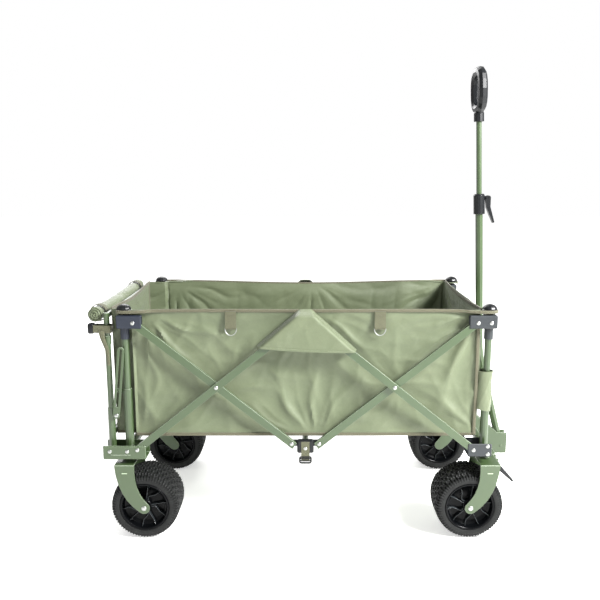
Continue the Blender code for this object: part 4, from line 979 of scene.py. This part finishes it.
class WAGON_OT_hub_straps(bpy.types.Operator):
    """Adds the short straps and slide buckles on the low hubs"""
    bl_idname = "wagon.hub_straps"
    bl_label = "Hub straps"

    def execute(self, context):
        webbing, buckles, rivets = Form(), Form(), Form()
        face = -LOW_HUB_BOX[0].y + 0.0004
        for side, _ in SIDES:
            drop = spline([(0.0004, 0.286), (0.0012, 0.272), (0.0010, 0.258), (0.0030, 0.243),
                           (0.0030, 0.2325)], 30)
            across = spread(-0.0115, 0.0115, 13)[None, :]
            grid = np.stack(np.broadcast_arrays(MID_X + across, side * (face + drop[:, :1] + 0.0010),
                                                drop[:, 1:]), -1)
            webbing.add(*slab(grid, WEBBING))
            # ladder buckle: a rounded frame with two cross bars
            turn = spread(0, 2 * math.pi, 41)[:-1]
            frame_line = np.stack([0.0155 * np.sign(np.cos(turn)) * np.abs(np.cos(turn)) ** 0.35,
                                   0.0088 * np.sign(np.sin(turn)) * np.abs(np.sin(turn)) ** 0.35], -1)
            y = side * (face + 0.0040)
            loop = np.column_stack([MID_X + frame_line[:, 0], np.full(40, y), 0.2345 + frame_line[:, 1]])
            buckles.add(*sweep(loop, rounded(0.0021, 0.0018, 4, 10), up=(0, 1, 0), closed=True))
            for z, out in ((0.2385, 0.0016), (0.2320, 0.0)):
                bar = [(MID_X - 0.014, y + side * out, z), (MID_X + 0.014, y + side * out, z)]
                buckles.add(*sweep(bar, rounded(0.0017, 0.0017, 3, 8)))
            rivets.add(*rivet(side, MID_X, LATTICE_LOW_Z + 0.002, face + 0.0022))
        make_piece("low_hub_straps", webbing, "low_hubs", finish("woven_webbing"))
        make_piece("low_hub_buckles", buckles, "low_hubs", finish("moulded_black_nylon"))
        make_piece("low_hub_strap_rivets", rivets, "low_hubs", finish("plated_steel"))
        return {"FINISHED"}


def rivet(side, x, z, y, radius=RIVET_R, high=RIVET_HIGH):
    """A domed rivet head: a quarter ellipse turned round Y, with a small dimple in its crown."""
    t = spread(0, math.pi / 2, 8)
    crown = np.stack([radius * np.cos(t[:-1]), high * np.sin(t[:-1])], -1)
    dimple = [(radius * 0.18, high * 0.99), (radius * 0.14, high * 0.88)]
    profile = np.concatenate([[(0, -0.0004), (radius, -0.0004)], crown, dimple, [(0, high * 0.86)]])
    return turned(profile, (x, side * y, z), axis_y=side, steps=24)


def fork(end, name):
    """A wheel's side of the wagon, -1 or 1, and the body that its fork belongs to."""
    return -1 if name == "near" else 1, f"caster_{name}" if end == "front" else "root"


class WAGON_OT_rivets(bpy.types.Operator):
    """Adds the bright rivet heads over the frame's pins and axles"""
    bl_idname = "wagon.rivets"
    bl_label = "Rivets"

    def execute(self, context):
        low, high, hub = LATTICE_LOW_Z, LATTICE_HIGH_Z, LATTICE_LOW_Z + HUB_LIFT
        bracket_y, channel_y = BRACKET_FACE_Y, CHANNEL_FACE_Y
        # each body's rivets: x from the middle plane, z, and the face they sit on
        places = {
            "lattice_rear_low": [(-CROSS_OUT, CROSS_Z, BAR_FACE_Y)],
            "lattice_front_low": [(CROSS_OUT, CROSS_Z, BAR_FACE_Y)],
            "low_hubs": [(-HUB_OUT, hub, HUB_FACE_Y), (HUB_OUT, hub, HUB_FACE_Y)],
            "rear_top": [(-END_OUT, high, bracket_y)],
            "front_top": [(END_OUT, high, bracket_y), (END_OUT + 0.0355, high, bracket_y)],
            "root": [(-END_OUT, low, channel_y), (-0.490, 0.261, channel_y), (-0.538, 0.261, channel_y)],
            "front_frame": [(END_OUT, low, channel_y), (0.5005, 0.276, channel_y),
                            (0.5015, 0.253, channel_y)],
            "tailgate": [(-0.5204, 0.3574, STAY_FACE_Y)],
        }
        for body, spots in places.items():
            form = Form()
            for side, _ in SIDES:
                for x, z, y in spots:
                    form.add(*rivet(side, MID_X + x, z, y))
            make_piece(f"rivets_{body}", form, body, finish("plated_steel"))
        for end, name in WHEELS:
            side, body = fork(end, name)
            x = middle(f"{end}_rim_{name}").x
            form = Form().add(*rivet(side, x, AXLE_Z, AXLE_FACE_Y, radius=0.0072, high=0.0030))
            make_piece(f"axle_cap_{end}_{name}", form, body, finish("plated_steel"))
        return {"FINISHED"}


class WAGON_OT_stampings(bpy.types.Operator):
    """Adds the short stiffening bars stamped into the tops of the fork arms"""
    bl_idname = "wagon.stampings"
    bl_label = "Stamped bars"

    def execute(self, context):
        for end, name in WHEELS:
            side, body = fork(end, name)
            x = REAR_POST_X - 0.0095 if end == "rear" else FRONT_POST_X + 0.0125
            y, z, half = side * FORK_FACE_Y, 0.1985, 0.0075
            path = [(x - half, y, z), (x, y, z), (x + half, y, z)]
            form = Form().add(*sweep(path, rounded(0.0014, 0.0014, 2, 12)))
            # the bar is painted pale, a painted highlight along it
            make_piece(f"stamped_bar_{end}_{name}", form, body, finish("rubbed_steel"))
        return {"FINISHED"}


class WAGON_OT_tyres(bpy.types.Operator):
    """Adds the four tyres with their block tread and shoulder lugs"""
    bl_idname = "wagon.tyres"
    bl_label = "Tyres"

    def execute(self, context):
        sizes = context.scene.wagon_sizes
        for end, name in WHEELS:
            self.tyre(end, name, sizes.lug_pitch, sizes.lug_depth)
        return {"FINISHED"}

    def tyre(self, end, name, pitch, depth):
        """A ring section turned round the axle. The tread's radius drops in grooves: two staggered
        block rows and a middle row, each a product of square-edged waves of the angle and the width,
        and shoulder lugs that run over the edge on to the sidewall."""
        low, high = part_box(f"{end}_tyre_{name}")
        rim_low, rim_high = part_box(f"{end}_rim_{name}")
        centre = (low + high) / 2
        radius, half = (high.z - low.z) / 2, (high.y - low.y) / 2
        inner = (rim_high.z - rim_low.z) / 2 - 0.003
        lugs = 2 * round(math.pi * radius / pitch)
        steps = lugs * 7
        w = spread(-1, 1, 71)
        crown_r = radius - 0.0040 * np.abs(w) ** 5
        crown = np.stack([crown_r, w * (half - 0.004)], -1)
        side_r = spread(radius - 0.0075, inner + 0.004, 9)
        bulge = half - 0.0004 - 0.0022 * ((side_r - (radius + inner) / 2) / ((radius - inner) / 2)) ** 2
        right = np.stack([side_r, bulge], -1)
        bead = np.array([(inner, half - 0.006), (inner, 0), (inner, -half + 0.006)])
        profile = np.concatenate([crown, right, bead, right[::-1] * (1, -1)])
        angle = spread(0, 2 * math.pi, steps + 1)[:-1][:, None]
        r = np.broadcast_to(profile[:, 0], (steps, len(profile))).copy()
        y = np.broadcast_to(profile[:, 1], r.shape).copy()
        v = y / half
        wave = lugs * angle

        def square(x):
            return smoothstep(-0.16, 0.16, x)
        stagger = wave / 2 + math.pi * np.floor((v + 6 / 7) * 3.5)
        zigzag = 0.020 * np.sin(wave)
        rows = square(np.cos(7 * math.pi * (v + zigzag)) + 0.66)
        blocks = square(np.cos(stagger + 1.5 * np.abs(v)) + 0.60) * rows
        on_crown = np.zeros(len(profile))
        on_crown[:len(crown)] = 1
        shoulder = smoothstep(0.80, 0.84, np.abs(v)) * square(np.cos(wave) + 0.15)
        tread = np.where(np.abs(v) < 0.82, blocks, shoulder)
        r -= depth * (1 - tread) * on_crown
        # shoulder lugs stand a little proud of the sidewall's outer part
        outer = smoothstep(radius - 0.017, radius - 0.010, profile[:, 0]) * (1 - on_crown)
        y -= np.sign(y) * 0.0026 * outer * (1 - square(np.cos(wave) + 0.15))
        line = np.exp(-((profile[:, 0] - (inner + 0.009)) / 0.0010) ** 2) * (1 - on_crown)
        y += np.sign(y) * 0.0005 * line
        grid = np.stack([centre.x + r * np.cos(angle), centre.y + y, centre.z + r * np.sin(angle)], -1)
        uv = np.stack(np.broadcast_arrays(angle * radius, profile[:, 1]), -1)
        form = Form().add(grid, grid_faces(*grid.shape[:2], True, True), uv)
        make_piece(f"tyre_{end}_{name}", form, f"{end}_wheel_{name}", finish("foam_rubber"),
                   crease=32, replaces=[f"{end}_tyre_{name}"])


class WAGON_OT_rims(bpy.types.Operator):
    """Adds the four rims: a deep dish on each face with a rolled lip, and thin ribs in the dish"""
    bl_idname = "wagon.rims"
    bl_label = "Rims"

    def execute(self, context):
        ribs = context.scene.wagon_sizes.rim_ribs
        for end, name in WHEELS:
            self.rim(end, name, ribs)
        return {"FINISHED"}

    def rim(self, end, name, ribs):
        """One closed profile turned round the axle and bored for it. Ribs are a thin section carried
        along lines in the dish: even ones are straight, odd ones bend like a hook near the hub."""
        low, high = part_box(f"{end}_rim_{name}")
        centre = (low + high) / 2
        radius, half = (high.z - low.z) / 2, (high.y - low.y) / 2
        form = Form()
        web = half - 0.0225
        spokes = Form()
        half_profile = [(0.0064, half - 0.008), (0.0165, half - 0.008), (0.0185, half - 0.010),
                        (0.0195, half - 0.020), (0.0240, web), (radius - 0.020, web),
                        (radius - 0.0110, half - 0.017),
                        (radius - 0.0078, half - 0.008), (radius - 0.0068, half - 0.003),
                        (radius - 0.0045, half - 0.0010), (radius - 0.0015, half - 0.0006),
                        (radius + 0.0002, half - 0.0030), (radius - 0.0004, half - 0.006)]
        profile = np.array(half_profile + [(r, -y) for r, y in half_profile[::-1]])
        fine = np.concatenate([profile[k] + (profile[(k + 1) % len(profile)] - profile[k])
                               * spread(0, 1, 3)[:-1, None] for k in range(len(profile))])
        form.add(*turned(fine, tuple(centre), steps=96, closed=True))
        for face in (-1, 1):
            for k in range(ribs):
                start = 2 * math.pi * k / ribs + 0.15
                t = spread(0, 1, 22)
                r = 0.0165 + (radius - 0.0240) * t
                bend = 0.0 if k % 2 == 0 else 0.42 * np.exp(-((t - 0.18) / 0.26) ** 2)
                a = start + bend
                deep = 0.0090 + 0.0040 * (1 - t) ** 2 + 0.0050 * smoothstep(0.75, 1, t)
                path = np.column_stack([centre.x + r * np.cos(a),
                                        centre.y + face * (web - 0.0008 + deep / 2),
                                        centre.z + r * np.sin(a)])
                section = rounded(0.0008, 0.5, 6, 10)
                tangent = unit(np.gradient(path, axis=0))
                side = unit(np.cross(tangent, (0, 1, 0)))
                grid = (path[:, None] + side[:, None] * section[None, :, :1]
                        + np.array([0, 1, 0]) * section[None, :, 1:] * deep[:, None, None])
                spokes.add(np.concatenate([grid.reshape(-1, 3), path[:1], path[-1:]]),
                           tube_faces(*grid.shape[:2]))
        # ribs are painted lighter than the rim, a painted highlight
        make_piece(f"rim_ribs_{end}_{name}", spokes, f"{end}_wheel_{name}", finish("moulded_rib_plastic"),
                   crease=35)
        make_piece(f"rim_{end}_{name}", form, f"{end}_wheel_{name}", finish("moulded_rim_plastic"),
                   crease=35, replaces=[f"{end}_rim_{name}"])


class WAGON_OT_frame_finish(bpy.types.Operator):
    """Gives every frame part from the CAD its finish"""
    bl_idname = "wagon.frame_finish"
    bl_label = "Frame finishes"

    def execute(self, context):
        words = {"rear_top_bracket": "moulded_blue_black_nylon", "front_top_bracket": "moulded_grey_nylon",
                 "front_low_bracket": "moulded_grey_nylon"}
        words |= dict.fromkeys(("dome", "hub", "clamp", "grip", "brake_lever"), "moulded_black_nylon")
        for name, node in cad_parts.items():
            look = next((words[word] for word in words if word in name), "powder_coated_steel")
            for index in range(max(1, len(node.material_slots))):
                if node.material_slots:
                    node.material_slots[index].material = finish(look)
                else:
                    node.data.materials.append(finish(look))
        return {"FINISHED"}


LIGHTS = (("key", (2.3, -1.6, 2.4), 0.9, 400.0),         # place, size in metres, power in watts
          ("fill", (-2.6, -2.4, 1.6), 2.0, 5.0),
          ("back", (-0.6, 2.8, 2.6), 2.2, 90.0))
LIT_SPOT = (MID_X, 0, 0.45)
EYE, LOOK_DOWN = (MID_X, -2.067, 1.014), 10.47           # camera's place, and degrees below level


class WAGON_OT_stage(bpy.types.Operator):
    """Adds the pale floor, the soft lights, the world and the camera"""
    bl_idname = "wagon.stage"
    bl_label = "Stage, lights and camera"

    def execute(self, context):
        floor = bpy.data.meshes.new("floor")
        reach = 14.0
        floor.from_pydata([(-reach, -reach, 0), (reach, -reach, 0), (reach, reach, 0), (-reach, reach, 0)],
                          [], [(0, 1, 2, 3)])
        material, tree, shader = new_material("pale_paper")
        # paper that glows a little, so that the floor stays pale round the shadow
        set_inputs(tree, shader, Base_Color="f4f4f2", Roughness=0.9, Specular_IOR_Level=0.1,
                   Emission_Color="ffffff", Emission_Strength=0.52)
        floor.materials.append(material)
        plane = bpy.data.objects.new("floor", floor)
        context.scene.collection.objects.link(plane)
        world = bpy.data.worlds.new("studio")
        world.use_nodes = True
        # the backdrop is white, and lights the wagon with a little over half that strength
        tree = world.node_tree
        path = add_node(tree, "ShaderNodeLightPath")
        seen = add_node(tree, "ShaderNodeMapRange", Value=path.outputs["Is Camera Ray"],
                        To_Min=0.58, To_Max=1.0)
        set_inputs(tree, tree.nodes["Background"], Color="ffffff", Strength=seen.outputs[0])
        context.scene.world = world
        for name, place, size, power in LIGHTS:
            light = bpy.data.lights.new(name, "AREA")
            light.size, light.energy = size, power
            lamp = bpy.data.objects.new(name, light)
            lamp.location = place
            aim = np.array(place) - LIT_SPOT
            lamp.rotation_euler = (math.atan2(math.hypot(aim[0], aim[1]), aim[2]), 0,
                                   math.atan2(aim[1], aim[0]) + math.pi / 2)
            context.scene.collection.objects.link(lamp)
        camera = bpy.data.cameras.new("camera")
        camera.lens, camera.sensor_width, camera.shift_x = 41.2, 36.0, -0.009
        eye = bpy.data.objects.new("camera", camera)
        eye.location = EYE
        eye.rotation_euler = (math.radians(90 - LOOK_DOWN), 0, 0)
        context.scene.collection.objects.link(eye)
        context.scene.camera = eye
        context.scene.view_settings.view_transform = "Standard"
        return {"FINISHED"}


class WAGON_PT_panel(bpy.types.Panel):
    """Lists the wagon's pieces and their settings"""
    bl_idname = "WAGON_PT_panel"
    bl_label = "Folding camp wagon"
    bl_space_type = "VIEW_3D"
    bl_region_type = "UI"
    bl_category = "Camp wagon"

    def draw(self, context):
        for settings in (context.scene.wagon_looks, context.scene.wagon_sizes):
            for key in settings.bl_rna.properties.keys():
                if key not in ("rna_type", "name"):
                    self.layout.prop(settings, key)
        for operator in OPERATORS:
            self.layout.operator(operator.bl_idname)


OPERATORS = (WAGON_OT_basket, WAGON_OT_bindings, WAGON_OT_hub_sleeves, WAGON_OT_tabs, WAGON_OT_tailgate,
             WAGON_OT_sleeves, WAGON_OT_hub_straps, WAGON_OT_rivets, WAGON_OT_stampings, WAGON_OT_tyres,
             WAGON_OT_rims, WAGON_OT_frame_finish, WAGON_OT_stage)
CLASSES = (WAGON_PG_looks, WAGON_PG_sizes, *OPERATORS, WAGON_PT_panel)


def register():
    for cls in CLASSES:
        bpy.utils.register_class(cls)
    bpy.types.Scene.wagon_looks = bpy.props.PointerProperty(type=WAGON_PG_looks)
    bpy.types.Scene.wagon_sizes = bpy.props.PointerProperty(type=WAGON_PG_sizes)


def unregister():
    del bpy.types.Scene.wagon_looks
    del bpy.types.Scene.wagon_sizes
    for cls in reversed(CLASSES):
        bpy.utils.unregister_class(cls)


def main():
    register()
    for operator in OPERATORS:
        group, name = operator.bl_idname.split(".")
        getattr(getattr(bpy.ops, group), name)()
    bpy.context.view_layer.update()


if __name__ == "__main__":
    main()
